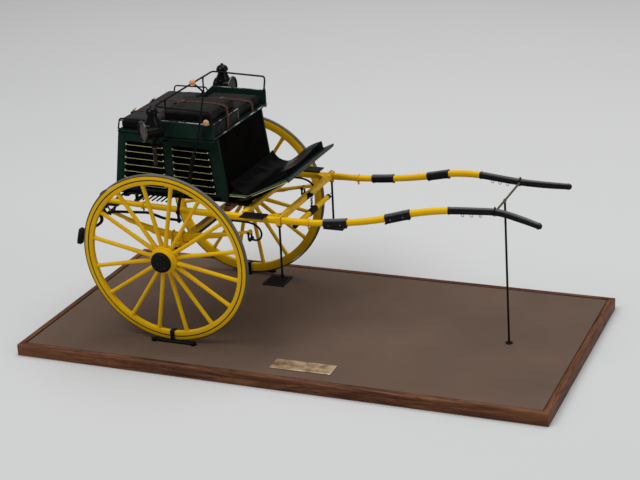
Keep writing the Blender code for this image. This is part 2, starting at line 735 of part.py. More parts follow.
def make_shafts():
    for s, side in SIDES:
        xs = spread(SHAFT_REAR * MM, 112.0 * MM, 38.0 * MM)
        xs += spread(124.0 * MM, SLEEVE_TIP[0] - 2 * GAP, 11.0 * MM)
        xs += [SLEEVE_TIP[0] - GAP, SHAFT_TENON - GAP]
        grow = [0.0] * (len(xs) - 2) + [-TENON_SHRINK, -TENON_SHRINK]
        bm = bmesh.new()
        rings = [[bm.verts.new(p) for p in ring] for ring in shaft_rings(s, xs, grow)]
        skin(bm, rings)
        pieces = [closed(bm)]
        # Small clips round the shaft with a ring below
        for x in (-36.0 * MM, 141.0 * MM):
            out, z, w, h = shaft_at(x)
            band = [x - 1.1 * MM, x + 1.1 * MM]
            bm = bmesh.new()
            rings = [[bm.verts.new(p) for p in ring]
                     for ring in shaft_rings(s, band, [0.9 * MM, 0.9 * MM])]
            skin(bm, rings)
            pieces.append(closed(bm))
            pieces.append(rod(1.1 * MM, -h - 3.4 * MM, -h, "z", (x, s * out, z), 8))
        node("shaft_" + side, union(*pieces), YELLOW, smooth=40.0)
        for name, (x0, x1) in (("sleeve_rear_", SLEEVE_REAR), ("sleeve_mid_", SLEEVE_MID)):
            xs = spread(x0, x1, 8.0 * MM)
            inner = shaft_rings(s, xs, [GAP] * len(xs))
            outer = shaft_rings(s, xs, [GAP + SLEEVE_WALL] * len(xs))
            node(name + side, shell_solid(outer, inner, False), LEATHER, smooth=40.0)
        x0, x1 = SLEEVE_TIP
        xs = spread(x0, x1 - 2.5 * MM, 8.0 * MM)
        tip = [x1 - 1.0 * MM, x1]
        grow = [0.25 * MM] * len(xs) + [-0.5 * MM, -1.6 * MM]
        outer = shaft_rings(s, xs + tip, grow)
        hole = spread(x0, SHAFT_TENON, 12.0 * MM)
        inner = shaft_rings(s, hole, [GAP - TENON_SHRINK] * len(hole))
        sleeve = shell_solid(outer, inner, True)
        staples = []
        for x in (289.0 * MM, 297.0 * MM, 305.0 * MM):
            out, z, w, h = shaft_at(x)
            staples.append(box(x - 0.8 * MM, x + 0.8 * MM, s * out - 0.8 * MM, s * out + 0.8 * MM,
                               z - h - 1.6 * MM, z - h + 0.5 * MM))
        node("sleeve_tip_" + side, union(sleeve, *staples), LEATHER, smooth=40.0)


# A rectangular ring round a shaft, standing clear of it all round
def shaft_collar(s, x, half_length, clear, wall):
    out, z, w, h = shaft_at(x)
    slope_y = abs(shaft_at(x + MM)[0] - shaft_at(x - MM)[0]) / (2 * MM)
    slope_z = abs(shaft_at(x + MM)[1] - shaft_at(x - MM)[1]) / (2 * MM)
    in_w = w + clear + slope_y * half_length
    in_h = h + clear + slope_z * half_length
    blocks = []
    for y0, y1, z0, z1 in (
        (-in_w - wall, in_w + wall, in_h, in_h + wall),
        (-in_w - wall, in_w + wall, -in_h - wall, -in_h),
        (-in_w - wall, -in_w, -in_h - wall, in_h + wall),
        (in_w, in_w + wall, -in_h - wall, in_h + wall),
    ):
        blocks.append(box(x - half_length, x + half_length, s * out + y0, s * out + y1, z + z0, z + z1))
    return blocks, out - in_w - wall / 2, z


def make_splinter_bar():
    near, reach, z = shaft_collar(NEAR, SPLINTER_X, COLLAR_HALF, GAP, COLLAR_WALL)
    far, reach, z = shaft_collar(FAR, SPLINTER_X, COLLAR_HALF, GAP, COLLAR_WALL)
    bar = box(SPLINTER_X - COLLAR_HALF, SPLINTER_X + COLLAR_HALF, -reach, reach, z - 1.4 * MM, z + 4.0 * MM)
    pieces = [bar] + near + far
    # Knees in the corners behind the bar, and two lugs with a pin for the swingletree
    for s in (NEAR, FAR):
        knee = ((SPLINTER_X - 16.0 * MM, s * reach), (SPLINTER_X - 2 * MM, s * reach),
                (SPLINTER_X - 2 * MM, s * (reach - 11.0 * MM)), (SPLINTER_X - 4.8 * MM, s * (reach - 5.6 * MM)),
                (SPLINTER_X - 9.4 * MM, s * (reach - 2.2 * MM)))
        pieces.append(prism(knee, z - 1.8 * MM, z + 3.0 * MM, axis=2))
        pieces.append(box(SPLINTER_X + 2.0 * MM, SWINGLE_X + 1.7 * MM, s * 1.3 * MM, s * 2.2 * MM,
                          HANGER_Z - 1.4 * MM, HANGER_Z + 1.4 * MM))
    pieces.append(rod(LINK_PIN_RADIUS, -2.0 * MM, 2.0 * MM, "y", (SWINGLE_X, 0.0, HANGER_Z)))
    node("splinter_bar", union(*pieces), YELLOW)


def make_swingletree():
    pivot = Vector((SWINGLE_X, 0.0, HANGER_Z))
    top = SWINGLE_Z + SWINGLE_RADIUS
    stem = 0.8 * MM
    link = union(
        rod(2.0 * MM, -1.0 * MM, 1.0 * MM, "y", pivot, 12),
        rod(stem, SWINGLE_Z + 0.5 * MM, HANGER_Z - 1.5 * MM, "z", (SWINGLE_X, 0.0, 0.0), 10),
        rod(1.7 * MM, top + 1.4 * MM, top + 4.0 * MM, "z", (SWINGLE_X, 0.0, 0.0), 10),
    )
    link = cut(link, rod(LINK_PIN_RADIUS + GAP, -2 * MM, 2 * MM, "y", pivot, 10))
    node("swingletree_link", link, IRON, pivot=pivot)
    r = SWINGLE_RADIUS
    half = SWINGLE_HALF
    bar = turned_at((
        (0.0, -half), (r * 0.8, -half), (r * 0.95, -half + 0.8 * MM), (r * 0.95, -half + 4.4 * MM),
        (r * 0.75, -half + 4.8 * MM), (r, -half * 0.5), (r, -8.2 * MM), (r * 1.2, -8.0 * MM),
        (r * 1.2, 8.0 * MM), (r, 8.2 * MM), (r, half * 0.5), (r * 0.75, half - 4.8 * MM),
        (r * 0.95, half - 4.4 * MM), (r * 0.95, half - 0.8 * MM), (r * 0.8, half), (0.0, half),
    ), 10, "y", (SWINGLE_X, 0.0, SWINGLE_Z))
    bar = cut(bar, rod(stem + GAP, SWINGLE_Z, SWINGLE_Z + 3 * r, "z", (SWINGLE_X, 0.0, 0.0), 12))
    node("swingletree_bar", bar, YELLOW, pivot=(SWINGLE_X, 0.0, SWINGLE_Z))


# Steps hung below the splinter bar's collars
def make_steps():
    x = 110.9 * MM
    y = 69.0 * MM
    top = shaft_at(SPLINTER_X)[1] - shaft_at(SPLINTER_X)[3] - GAP - COLLAR_WALL - GAP
    tread_z = 70.0 * MM
    thick = 1.5 * MM
    for s, side in SIDES:
        tread = side_box(s, 99.4 * MM, 121.2 * MM, 67.2 * MM, 91.4 * MM, tread_z - thick / 2,
                         tread_z + thick / 2)
        slots = []
        for i in range(4):
            y0 = (72.2 + 4.6 * i) * MM
            slots.append(side_box(s, 101.6 * MM, 119.0 * MM, y0, y0 + 2.6 * MM,
                                  tread_z - thick, tread_z + thick))
        tread = cut(tread, *slots)
        hanger = union(
            tread,
            rod(ROD_RADIUS, tread_z, top, "z", (x, s * y, 0.0), 10),
            rod(2.3 * MM, top - 1.2 * MM, top, "z", (x, s * y, 0.0), 12),
            rod(2.0 * MM, tread_z, tread_z + 2.4 * MM, "z", (x, s * y, 0.0), 12),
        )
        node("step_" + side, hanger, IRON)


# Prop that carries the shaft tips over the plinth
def make_stand():
    near, reach, z = shaft_collar(NEAR, STAND_X, 1.5 * MM, 0.75 * MM, 0.9 * MM)
    far, reach, z = shaft_collar(FAR, STAND_X, 1.5 * MM, 0.75 * MM, 0.9 * MM)
    foot = STAND_FOOT
    top = Vector((STAND_X, foot.y, z))
    pieces = [sweep([foot, top], ROD_RADIUS, ROD_RADIUS, sides=10, up=(1.0, 0.0, 0.0)),
              rod(0.9 * MM, -reach, reach, "y", (STAND_X, 0.0, z), 10),
              rod(3.6 * MM, 0.0, 1.0 * MM, "z", foot, 16)]
    node("display_stand", union(*pieces, *near, *far), IRON)


# Cross bars and runners that carry the body on the shafts
def make_body_frame():
    top = BODY_BOTTOM - GAP
    reach = 64.5 * MM
    pieces = []
    for x0, x1, z0, z1 in ((-68.0, -62.0, 131.6, 137.0), (-49.6, -44.4, 129.6, 134.6),
                           (50.0, 57.0, 131.0, 136.2), (69.6, 75.0, 128.8, 133.4)):
        pieces.append(box(x0 * MM, x1 * MM, -reach, reach, z0 * MM, z1 * MM))
    for s in (NEAR, FAR):
        pieces.append(side_box(s, -66.0 * MM, 52.0 * MM, 36.0 * MM, 42.0 * MM, 131.6 * MM, top))
        pieces.append(side_box(s, 50.0 * MM, 73.0 * MM, 36.0 * MM, 42.0 * MM, 129.4 * MM, 133.0 * MM))
        pieces.append(side_box(s, -48.4 * MM, -46.2 * MM, 58.0 * MM, 61.5 * MM, 131.0 * MM, 139.6 * MM))
        pieces.append(side_box(s, -57.0 * MM, -43.5 * MM, 58.0 * MM, 61.5 * MM, 138.6 * MM, 140.0 * MM))
        pieces.append(side_box(s, 51.5 * MM, 56.5 * MM, 59.0 * MM, 64.0 * MM, 131.5 * MM, 138.8 * MM))
    slats = 6
    for i in range(slats):
        x = (-42.0 + 5.2 * i) * MM
        pieces.append(rod(0.8 * MM, -58.0 * MM, 58.0 * MM, "y", (x, 0.0, 132.6 * MM), 6))
    node("body_frame", union(*pieces), WOOD)


def front_edge(z):
    return FRONT_TOP_X + (FRONT_BOTTOM_X - FRONT_TOP_X) * (BODY_TOP - z) / (BODY_TOP - BODY_BOTTOM)


def rear_edge(z):
    return REAR_TOP_X + (REAR_BOTTOM_X - REAR_TOP_X) * (BODY_TOP - z) / (BODY_TOP - BODY_BOTTOM)


# One louvre: a hood that stands out from the panel at its lower edge
def louvre(s, x0, x1, z):
    face = s * (BODY_HALF - 0.5 * MM)
    out = s * (BODY_HALF + LOUVRE_OUT)
    bm = bmesh.new()
    rings = []
    for x in (x0, x1):
        low = z + LOUVRE_SLOPE * (x - LOUVRE_POST[1])
        ring = [(x, face, low), (x, out, low), (x, out, low + 0.6 * MM), (x, face, low + LOUVRE_HEIGHT)]
        rings.append([bm.verts.new(p) for p in ring])
    skin(bm, rings)
    return closed(bm)


def make_body():
    outline = ((REAR_TOP_X, BODY_TOP), (REAR_BOTTOM_X, BODY_BOTTOM),
               (FRONT_BOTTOM_X, BODY_BOTTOM), (FRONT_TOP_X, BODY_TOP))
    for s, side in SIDES:
        panel = prism(outline, s * (BODY_HALF - PANEL), s * BODY_HALF)
        hoods = []
        for k in range(LOUVRES):
            z = LOUVRE_FIRST_Z - LOUVRE_PITCH * k
            hoods.append(louvre(s, rear_edge(z) + LOUVRE_REAR_MARGIN, LOUVRE_POST[0], z))
            hoods.append(louvre(s, LOUVRE_POST[1], front_edge(z) - LOUVRE_FRONT_MARGIN, z))
        node("body_side_" + side, union(panel, *hoods), GREEN)
    inner = BODY_HALF - PANEL - GAP
    low = 145.2 * MM
    recess = 0.5 * MM
    thick = 2.6 * MM
    top = BODY_TOP - GAP
    knee = prism(((front_edge(low) - recess, low), (front_edge(top) - recess, top),
                  (front_edge(top) - recess - thick, top), (front_edge(low) - recess - thick, low)),
                 -inner, inner)
    node("knee_panel", knee, LEATHER)
    low = BODY_BOTTOM + 2.6 * MM
    top = BODY_TOP - 1.4 * MM
    board = prism(((rear_edge(low), low), (rear_edge(top), top),
                   (rear_edge(top) + thick, top), (rear_edge(low) + thick, low)), -inner, inner)
    hinge = Vector((rear_edge(low) - 0.4 * MM, 0.0, low + 0.6 * MM))
    knuckles = [rod(1.1 * MM, y - 5.0 * MM, y + 5.0 * MM, "y", hinge, 10)
                for y in (-34.0 * MM, 34.0 * MM)]
    node("tailboard", union(board, *knuckles), GREEN, pivot=hinge)

    # Floor, side sills and toe board in one profile; the part inside the body is narrower
    back = rear_edge(BODY_BOTTOM) + 3.4 * MM
    floor_top = BODY_BOTTOM + 2.0 * MM
    floor = box(back, 53.5 * MM, -inner, inner, BODY_BOTTOM, floor_top)
    sill = scaled(((52.8, 137.3), (52.8, 144.4), (68.7, 143.5), (117.5, 167.0), (118.7, 164.9), (72.0, 137.3)))
    toe = prism(sill, -BODY_HALF, BODY_HALF)
    flare = 3.8 * MM
    for vert in toe.verts:
        share = max(0.0, (vert.co.x - 68.7 * MM) / (117.5 * MM - 68.7 * MM))
        vert.co.y += math.copysign(flare * min(share, 1.0), vert.co.y)
    node("toe_board", union(toe, floor), GREEN)

    # Leather apron folded down over the floor and standing along the toe board
    half = 53.0 * MM
    rise = scaled(((53.0, 156.0), (57.0, 151.6), (62.5, 148.4), (70.8, 147.4), (80.0, 152.8),
                   (94.0, 162.2), (108.4, 170.7)))
    below = scaled(((108.8, 169.2), (94.4, 160.6), (80.6, 151.2), (75.0, 146.9), (69.0, 143.9),
                    (63.0, 144.1), (56.6, 149.8), (53.0, 154.4)))
    outline = rise + below
    node("apron", prism(outline, -half, half), LEATHER, smooth=60.0)


def make_seat():
    deck = prism(((DECK_REAR, -DECK_HALF), (WING_REAR, -DECK_HALF), (WING_REAR, -WING_OUT),
                  (DECK_FRONT, -WING_OUT), (DECK_FRONT, WING_OUT), (WING_REAR, WING_OUT),
                  (WING_REAR, DECK_HALF), (DECK_REAR, DECK_HALF)), DECK_BOTTOM, DECK_TOP, axis=2)
    low = 200.0 * MM
    shape = ((WING_REAR, low), (DECK_FRONT, low), (DECK_FRONT, WING_TOP), (-15.0 * MM, WING_TOP + MM),
             (WING_REAR, 207.8 * MM))
    wings = [prism(shape, s * (WING_OUT - WING_THICK), s * WING_OUT) for s in (NEAR, FAR)]
    node("seat_deck", union(deck, *wings), GREEN)


# A cushion: flat below, sides drawn in between the corners, crowned on top, with
# grooves where straps press in and dimples under the buttons
def cushion(x0, x1, y0, y1, z0, z1, crown, grooves=(), buttons=()):
    def lines(lo, hi, count, extra):
        values = [lo + (hi - lo) * i / count for i in range(count + 1)]
        return sorted(values + [v for v in extra if all(abs(v - w) > 0.4 * MM for w in values)])

    marks = []
    for g in grooves:
        marks += [g - 5.5 * MM, g - 2.8 * MM, g + 2.8 * MM, g + 5.5 * MM]
    xs = lines(x0, x1, 7, [])
    ys = lines(y0, y1, round((y1 - y0) / (9.0 * MM)), marks)
    mid_x = (x0 + x1) / 2
    mid_y = (y0 + y1) / 2
    half_x = (x1 - x0) / 2
    half_y = (y1 - y0) / 2
    edge = 1.6 * MM
    pull = 0.7 * MM

    def place(x, y, grow, z):
        u = (x - mid_x) / half_x
        v = (y - mid_y) / half_y
        px = x + (u * (grow - pull * (1 - v * v)) if abs(u) > 0.999 else u * grow)
        py = y + (v * (grow - pull * (1 - u * u)) if abs(v) > 0.999 else v * grow)
        return (px, py, z)

    def top(x, y):
        u = abs(x - mid_x) / half_x
        v = abs(y - mid_y) / half_y
        lift = crown * (1 - u ** 3) * (1 - v ** 3)
        press = 0.0
        for g in grooves:
            press = max(press, min(1.0, max(0.0, (5.5 * MM - abs(y - g)) / (2.7 * MM))))
        lift *= 1.0 - press
        for bx, by in buttons:
            away = math.hypot(x - bx, y - by)
            lift -= 1.3 * MM * math.exp(-(away / (4.5 * MM)) ** 2)
        return z1 + lift - edge * 0.35 * max(u, v) ** 8

    bm = bmesh.new()
    grid = {}
    for i, x in enumerate(xs):
        for j, y in enumerate(ys):
            grid[i, j] = bm.verts.new(place(x, y, -edge * 0.5, top(x, y)))
    for i in range(len(xs) - 1):
        for j in range(len(ys) - 1):
            bm.faces.new((grid[i, j], grid[i + 1, j], grid[i + 1, j + 1], grid[i, j + 1]))
    border = [(i, 0) for i in range(len(xs))]
    border += [(len(xs) - 1, j) for j in range(1, len(ys))]
    border += [(i, len(ys) - 1) for i in range(len(xs) - 2, -1, -1)]
    border += [(0, j) for j in range(len(ys) - 2, 0, -1)]
    rings = [[grid[key] for key in border]]
    height = z1 - z0
    for share, grow in ((0.82, 0.0), (0.5, 0.3 * MM), (0.16, 0.0), (0.0, -edge * 0.5)):
        ring = []
        for i, j in border:
            ring.append(bm.verts.new(place(xs[i], ys[j], grow, z0 + height * share)))
        rings.append(ring)
    skin(bm, rings, cap_start=False)
    return closed(bm)


def make_cushions():
    z = SEAT_Z
    rear = cushion(-62.4 * MM, -18.8 * MM, -52.0 * MM, 52.0 * MM, z, z + 10.1 * MM, 1.9 * MM,
                   grooves=(-27.0 * MM, 15.0 * MM))
    node("cushion_rear", rear, LEATHER, smooth=50.0)
    base_top = 216.4 * MM
    base = bevel(box(-14.0 * MM, 42.2 * MM, -57.5 * MM, -0.9 * MM, z, base_top), 0.8 * MM)
    node("driver_box", base, LEATHER)
    spots = [(x * MM, y * MM) for x in (0.0, 29.0) for y in (-44.5, -10.5)]
    driver = cushion(-13.6 * MM, 41.2 * MM, -56.8 * MM, -1.2 * MM, base_top + GAP,
                     base_top + 9.8 * MM, 2.2 * MM, grooves=(-26.5 * MM,), buttons=spots)
    node("cushion_driver", driver, LEATHER, smooth=50.0)
    spots = [(x * MM, y * MM) for x in (0.0, 29.0) for y in (12.0, 48.0)]
    guest = cushion(-13.6 * MM, 41.6 * MM, 0.4 * MM, 58.4 * MM, z, z + 10.1 * MM, 1.9 * MM,
                    grooves=(32.0 * MM,), buttons=spots)
    node("cushion_passenger", guest, LEATHER, smooth=50.0)


# Straps over the cushions, drawn as (forward, sideways, up) through their middle line
def make_straps():
    half_width = 2.2 * MM
    half_thick = 0.3 * MM
    over = SEAT_Z + 10.1 * MM + 0.85 * MM
    y = -26.5 * MM
    high = 227.1 * MM
    near = [(-63.7 * MM, y, 205.2 * MM), (-63.7 * MM, y, 212.0 * MM), (-61.6 * MM, y, over),
            (-19.0 * MM, y, over), (-16.4 * MM, y, 217.0 * MM), (-15.1 * MM, y, 224.0 * MM),
            (-13.0 * MM, y, high), (40.4 * MM, y, high), (42.95 * MM, y, 224.0 * MM),
            (42.95 * MM, y, 203.9 * MM)]
    node("strap_near", sweep(near, half_width, half_thick, 4, 8.0, (-1.0, 0.0, 0.0)), STRAP)
    y = 15.0 * MM
    y1 = 32.0 * MM
    lift = 1.5 * MM
    far = [(-63.7 * MM, y, 205.2 * MM), (-63.7 * MM, y, 212.0 * MM), (-61.6 * MM, y, over),
           (-24.0 * MM, y, over), (-17.0 * MM, y + 3.0 * MM, over + lift),
           (-4.0 * MM, y1 - 3.0 * MM, over + lift), (4.0 * MM, y1, over), (40.6 * MM, y1, over),
           (42.95 * MM, y1, 212.0 * MM), (42.95 * MM, y1, 203.9 * MM)]
    node("strap_far", sweep(far, half_width, half_thick, 4, 8.0, (-1.0, 0.0, 0.0)), STRAP)


def make_rails():
    radius = 0.9 * MM
    foot = WING_TOP + GAP
    half = 66.1 * MM
    ends = {}
    for s in (NEAR, FAR):
        ends[s] = [(43.0 * MM, s * 63.15 * MM, foot), (43.0 * MM, s * 64.2 * MM, foot + 5.0 * MM),
                   (43.0 * MM, s * half, foot + 9.0 * MM), (42.6 * MM, s * half, 231.3 * MM),
                   (-16.0 * MM, s * half, 233.6 * MM)]
    path = rounded(ends[NEAR] + ends[FAR][::-1], 4.0 * MM, 2)
    rail = sweep(path, radius, radius, sides=6, up=(1.0, 0.0, 0.0))
    legs = []
    for s in (NEAR, FAR):
        leg = [(-16.0 * MM, s * 43.0 * MM, 233.6 * MM), (-16.2 * MM, s * 43.0 * MM, SEAT_Z)]
        legs.append(sweep(leg, 0.8 * MM, 0.8 * MM, sides=6, up=(0.0, 1.0, 0.0)))
    node("rail_front", union(rail, *legs), IRON)
    for s, side in SIDES:
        path = [(-62.5 * MM, s * 54.4 * MM, SEAT_Z + 0.6 * MM), (-62.0 * MM, s * 56.5 * MM, SEAT_Z + 1.8 * MM),
                (-60.5 * MM, s * 61.0 * MM, SEAT_Z + 2.6 * MM), (-58.2 * MM, s * 61.0 * MM, 217.3 * MM),
                (-22.4 * MM, s * 61.6 * MM, 217.3 * MM), (-21.8 * MM, s * 63.1 * MM, 213.9 * MM)]
        rail = sweep(rounded(path, 3.0 * MM, 2), 0.75 * MM, 0.75 * MM, sides=6, up=(0.0, 0.3, 1.0))
        node("rail_rear_" + side, rail, IRON)


def make_lamps():
    front = 9.5 * MM
    drum = 8.8 * MM
    body = union(
        turned_at(((0.0, -9.6 * MM), (drum * 0.7, -9.6 * MM), (drum, -8.4 * MM), (drum, front),
                   (0.0, front)), 18, "x", (0.0, 0.0, 0.0)),
        turned(((0.0, 3.0 * MM), (8.2 * MM, 3.0 * MM), (8.2 * MM, 7.0 * MM), (7.0 * MM, 8.8 * MM),
                (4.7 * MM, 14.2 * MM), (4.6 * MM, 16.0 * MM), (6.2 * MM, 16.6 * MM),
                (6.2 * MM, 18.8 * MM), (5.0 * MM, 21.2 * MM), (2.6 * MM, 22.5 * MM),
                (0.0, 24.4 * MM)), 12),
        turned(((0.0, -6.0 * MM), (5.0 * MM, -6.5 * MM), (4.6 * MM, -9.5 * MM), (2.6 * MM, -11.4 * MM),
                (3.4 * MM, -12.3 * MM), (3.4 * MM, -SOCKET_TOP + GAP), (LAMP_STEM_RADIUS, -SOCKET_TOP + GAP),
                (LAMP_STEM_RADIUS, -36.0 * MM), (0.0, -36.0 * MM)), 10),
    )
    rim = 11.7 * MM
    back = front + GAP
    lens = turned_at(((0.0, back), (rim, back), (rim, back + 1.3 * MM), (rim - 0.9 * MM, back + 2.0 * MM),
                      (rim - 2.2 * MM, back + 0.9 * MM), (0.0, back + 1.3 * MM)), 24, "x", (0.0, 0.0, 0.0))
    for name, bm, finish in (("lamp", body, IRON), ("lamp_lens", lens, GLASS)):
        mesh = bpy.data.meshes.new(name)
        bm.to_mesh(mesh)
        bm.free()
        mesh.shade_smooth()
        mesh.set_sharp_from_angle(angle=math.radians(32.0))
        for s, side in SIDES:
            at = Vector((LAMP_AT.x, s * LAMP_AT.y, LAMP_AT.z))
            turn = Matrix.Rotation(LAMP_TURN[s], 3, "Z")
            add_object(name + "_" + side, mesh, finish, CART_ORIGIN + at, turn)
    top = LAMP_AT.z - SOCKET_TOP
    bore = LAMP_STEM_RADIUS + GAP
    for s, side in SIDES:
        y = LAMP_AT.y
        centre = (LAMP_AT.x, s * y, 0.0)
        bracket = union(
            rod(bore + 1.2 * MM, top - SOCKET_LENGTH, top, "z", centre, 16),
            side_box(s, LAMP_AT.x - 1.3 * MM, LAMP_AT.x + 1.3 * MM, BODY_HALF + MM, y - 2.8 * MM,
                     top - 5.0 * MM, top - 2.4 * MM),
            side_box(s, LAMP_AT.x - 2.6 * MM, LAMP_AT.x + 2.6 * MM, BODY_HALF + GAP,
                     BODY_HALF + 1.4 * MM, top - 6.4 * MM, top - 1.0 * MM),
        )
        hole = rod(bore, top - SOCKET_LENGTH - MM, top + MM, "z", centre, 16)
        node("lamp_bracket_" + side, cut(bracket, hole), IRON)


# Hand brake: lever, pull rod, and a cross beam with a shoe behind each wheel
def make_brake():
    inner = LEVER_PIVOT.y + LEVER_THICK / 2
    arm = scaled(((6.7, 121.2), (6.2, 131.0), (9.8, 145.9), (20.0, 160.0), (26.0, 184.0), (31.0, 197.0),
                  (37.9, 225.3), (43.6, 252.7), (34.8, 261.4)))
    path = rounded([(x, LEVER_PIVOT.y, z) for x, z in arm], 4.0 * MM, 2)
    sill = -shaft_at(LEVER_PIVOT.x)[0] - shaft_at(LEVER_PIVOT.x)[2]
    knob = turned(((0.0, -2.6 * MM), (1.7 * MM, -2.6 * MM), (1.9 * MM, -1.6 * MM), (2.7 * MM, -0.6 * MM),
                   (KNOB_RADIUS, 1.0 * MM), (2.5 * MM, 2.5 * MM), (1.3 * MM, 3.3 * MM), (0.0, 3.5 * MM)), 12)
    lean = Matrix.Rotation(math.radians(-45.0), 4, "Y")
    place = Matrix.Translation(Vector((33.4 * MM, LEVER_PIVOT.y, 262.6 * MM))) @ lean
    bmesh.ops.transform(knob, matrix=place, verts=knob.verts)
    lever = union(
        sweep(path, 0.95 * MM, LEVER_THICK / 2, 4, 8.0, (0.0, 1.0, 0.0)),
        rod(2.0 * MM, LEVER_PIVOT.y - LEVER_THICK / 2 - 0.6 * MM, sill - GAP, "y",
            (LEVER_PIVOT.x, 0.0, LEVER_PIVOT.z), 14),
        rod(LINK_PIN_RADIUS, inner - 0.4 * MM, -LINK_INNER + 0.3 * MM, "y", (LEVER_PIN.x, 0.0, LEVER_PIN.z)),
        rod(1.7 * MM, LEVER_PIVOT.y - LEVER_THICK / 2, inner, "y", (LEVER_PIN.x, 0.0, LEVER_PIN.z), 12),
        knob,
    )
    node("brake_lever", lever, IRON, pivot=LEVER_PIVOT)

    y0 = -LINK_OUTER
    y1 = -LINK_INNER
    middle = (y0 + y1) / 2
    route = scaled(((-75.6, 120.7), (-68.0, 123.6), (-27.0, 126.2), (-11.0, 121.6), (5.4, 121.2)))
    path = rounded([(x, middle, z) for x, z in route], 4.0 * MM, 2)
    link = union(sweep(path, 0.9 * MM, (y1 - y0) / 2, 4, 8.0, (0.0, 1.0, 0.0)),
                 rod(2.0 * MM, y0, y1, "y", (BEAM_PIN.x, 0.0, BEAM_PIN.z), 14),
                 rod(2.0 * MM, y0, y1, "y", (LEVER_PIN.x, 0.0, LEVER_PIN.z), 14))
    holes = [rod(LINK_PIN_RADIUS + GAP, y0 - MM, y1 + MM, "y", (p.x, 0.0, p.z), 12)
             for p in (BEAM_PIN, LEVER_PIN)]
    node("brake_pull_rod", cut(link, *holes), IRON, pivot=(LEVER_PIN.x, middle, LEVER_PIN.z))

    reach = WHEEL_TRACK / 2 - 8.1 * MM
    plate = 2.4 * MM
    pieces = [rod(BEAM_RADIUS, -reach, reach, "y", BEAM_AT, 12)]
    crank = scaled(((-79.0, 127.8), (-78.0, 129.4), (-76.2, 129.4), (-75.3, 127.8), (-75.2, 120.4),
                    (-76.1, 119.1), (-77.6, 119.1), (-78.4, 120.6)))
    pieces.append(prism(crank, BEAM_PIN.y - 1.4 * MM, BEAM_PIN.y))
    pieces.append(rod(LINK_PIN_RADIUS, BEAM_PIN.y - MM, -LINK_INNER + 0.3 * MM, "y",
                      (BEAM_PIN.x, 0.0, BEAM_PIN.z)))
    first = math.radians(166.3)
    last = math.radians(176.2)
    inner_r = WHEEL_RADIUS + SHOE_GAP
    outer_r = inner_r + SHOE_THICK
    angles = [first + (last - first) * i / 4 for i in range(5)]
    outline = [(inner_r * math.cos(a), AXLE_UP + inner_r * math.sin(a)) for a in angles]
    outline += [(outer_r * math.cos(a), AXLE_UP + outer_r * math.sin(a)) for a in reversed(angles)]
    # The shoes fit the tyres when the brake is on, and are drawn here with the brake off
    c = math.cos(-BRAKE_TURN)
    sn = math.sin(-BRAKE_TURN)
    outline = [(BEAM_AT.x + (x - BEAM_AT.x) * c - (z - BEAM_AT.z) * sn,
                BEAM_AT.z + (x - BEAM_AT.x) * sn + (z - BEAM_AT.z) * c) for x, z in outline]
    shoe_x = sum(x for x, z in outline) / len(outline)
    shoe_z = sum(z for x, z in outline) / len(outline)
    shoe_y0 = WHEEL_TRACK / 2 - 3.3 * MM
    shoe_y1 = WHEEL_TRACK / 2 + 2.7 * MM
    curve = scaled(((-77.2, 127.6), (-72.6, 124.6), (-71.6, 119.8), (-74.8, 115.4)))
    curve.append((shoe_x - 1.8 * MM, shoe_z + 0.5 * MM))
    for s in (NEAR, FAR):
        y = s * (reach - plate / 2)
        path = rounded([(x, y, z) for x, z in curve], 4.0 * MM, 2)
        pieces.append(sweep(path, 1.5 * MM, plate / 2, 4, 8.0, (0.0, 1.0, 0.0)))
        pieces.append(side_box(s, shoe_x - 2.2 * MM, shoe_x - 0.2 * MM, reach - plate,
                               shoe_y0 + 1.0 * MM, shoe_z - 1.3 * MM, shoe_z + 2.3 * MM))
        pieces.append(prism(outline, s * shoe_y0, s * shoe_y1))
    node("brake_beam", union(*pieces), IRON, pivot=BEAM_AT)


# Crank handle on the near wing, with a turned knob
def make_side_crank():
    at = CRANK_AT
    boss = 1.7 * MM
    face = at.y
    arm_y = CRANK_KNOB.y
    along = Vector((CRANK_KNOB.x - at.x, 0.0, CRANK_KNOB.z - at.z))
    length = along.length
    along.normalize()
    across = Vector((-along.z, 0.0, along.x))
    outline = []
    for share, width in ((-0.06, 1.3), (0.0, 1.6), (1.0, 1.15), (1.06, 0.8)):
        outline.append((share, width * MM))
    shape = [Vector((at.x, 0, at.z)) + along * (length * f) + across * w for f, w in outline]
    shape += [Vector((at.x, 0, at.z)) + along * (length * f) - across * w for f, w in reversed(outline)]
    knob = turned_at(((0.0, 0.0), (1.4 * MM, 0.0), (1.6 * MM, -1.0 * MM), (2.6 * MM, -1.8 * MM),
                      (KNOB_RADIUS, -3.2 * MM), (2.6 * MM, -4.4 * MM), (1.4 * MM, -5.0 * MM),
                      (0.0, -5.1 * MM)), 14, "y", (CRANK_KNOB.x, arm_y + 0.6 * MM, CRANK_KNOB.z))
    crank = union(prism([(p.x, p.z) for p in shape], arm_y, arm_y + 1.2 * MM),
                  rod(boss, arm_y - 0.8 * MM, face, "y", (at.x, 0.0, at.z), 14), knob)
    node("side_crank", crank, IRON, pivot=(at.x, face, at.z))


make_plinth()
make_wheel_clips()
make_wheels()
make_axle()
make_springs()
make_spring_irons()
make_shafts()
make_splinter_bar()
make_swingletree()
make_steps()
make_stand()
make_body_frame()
make_body()
make_seat()
make_cushions()
make_straps()
make_rails()
make_lamps()
make_brake()
make_side_crank()
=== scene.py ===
"""Looks of the model tandem cart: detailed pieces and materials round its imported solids."""

import math

import bmesh
import bpy
from mathutils.bvhtree import BVHTree
from mathutils import Matrix, Vector, noise


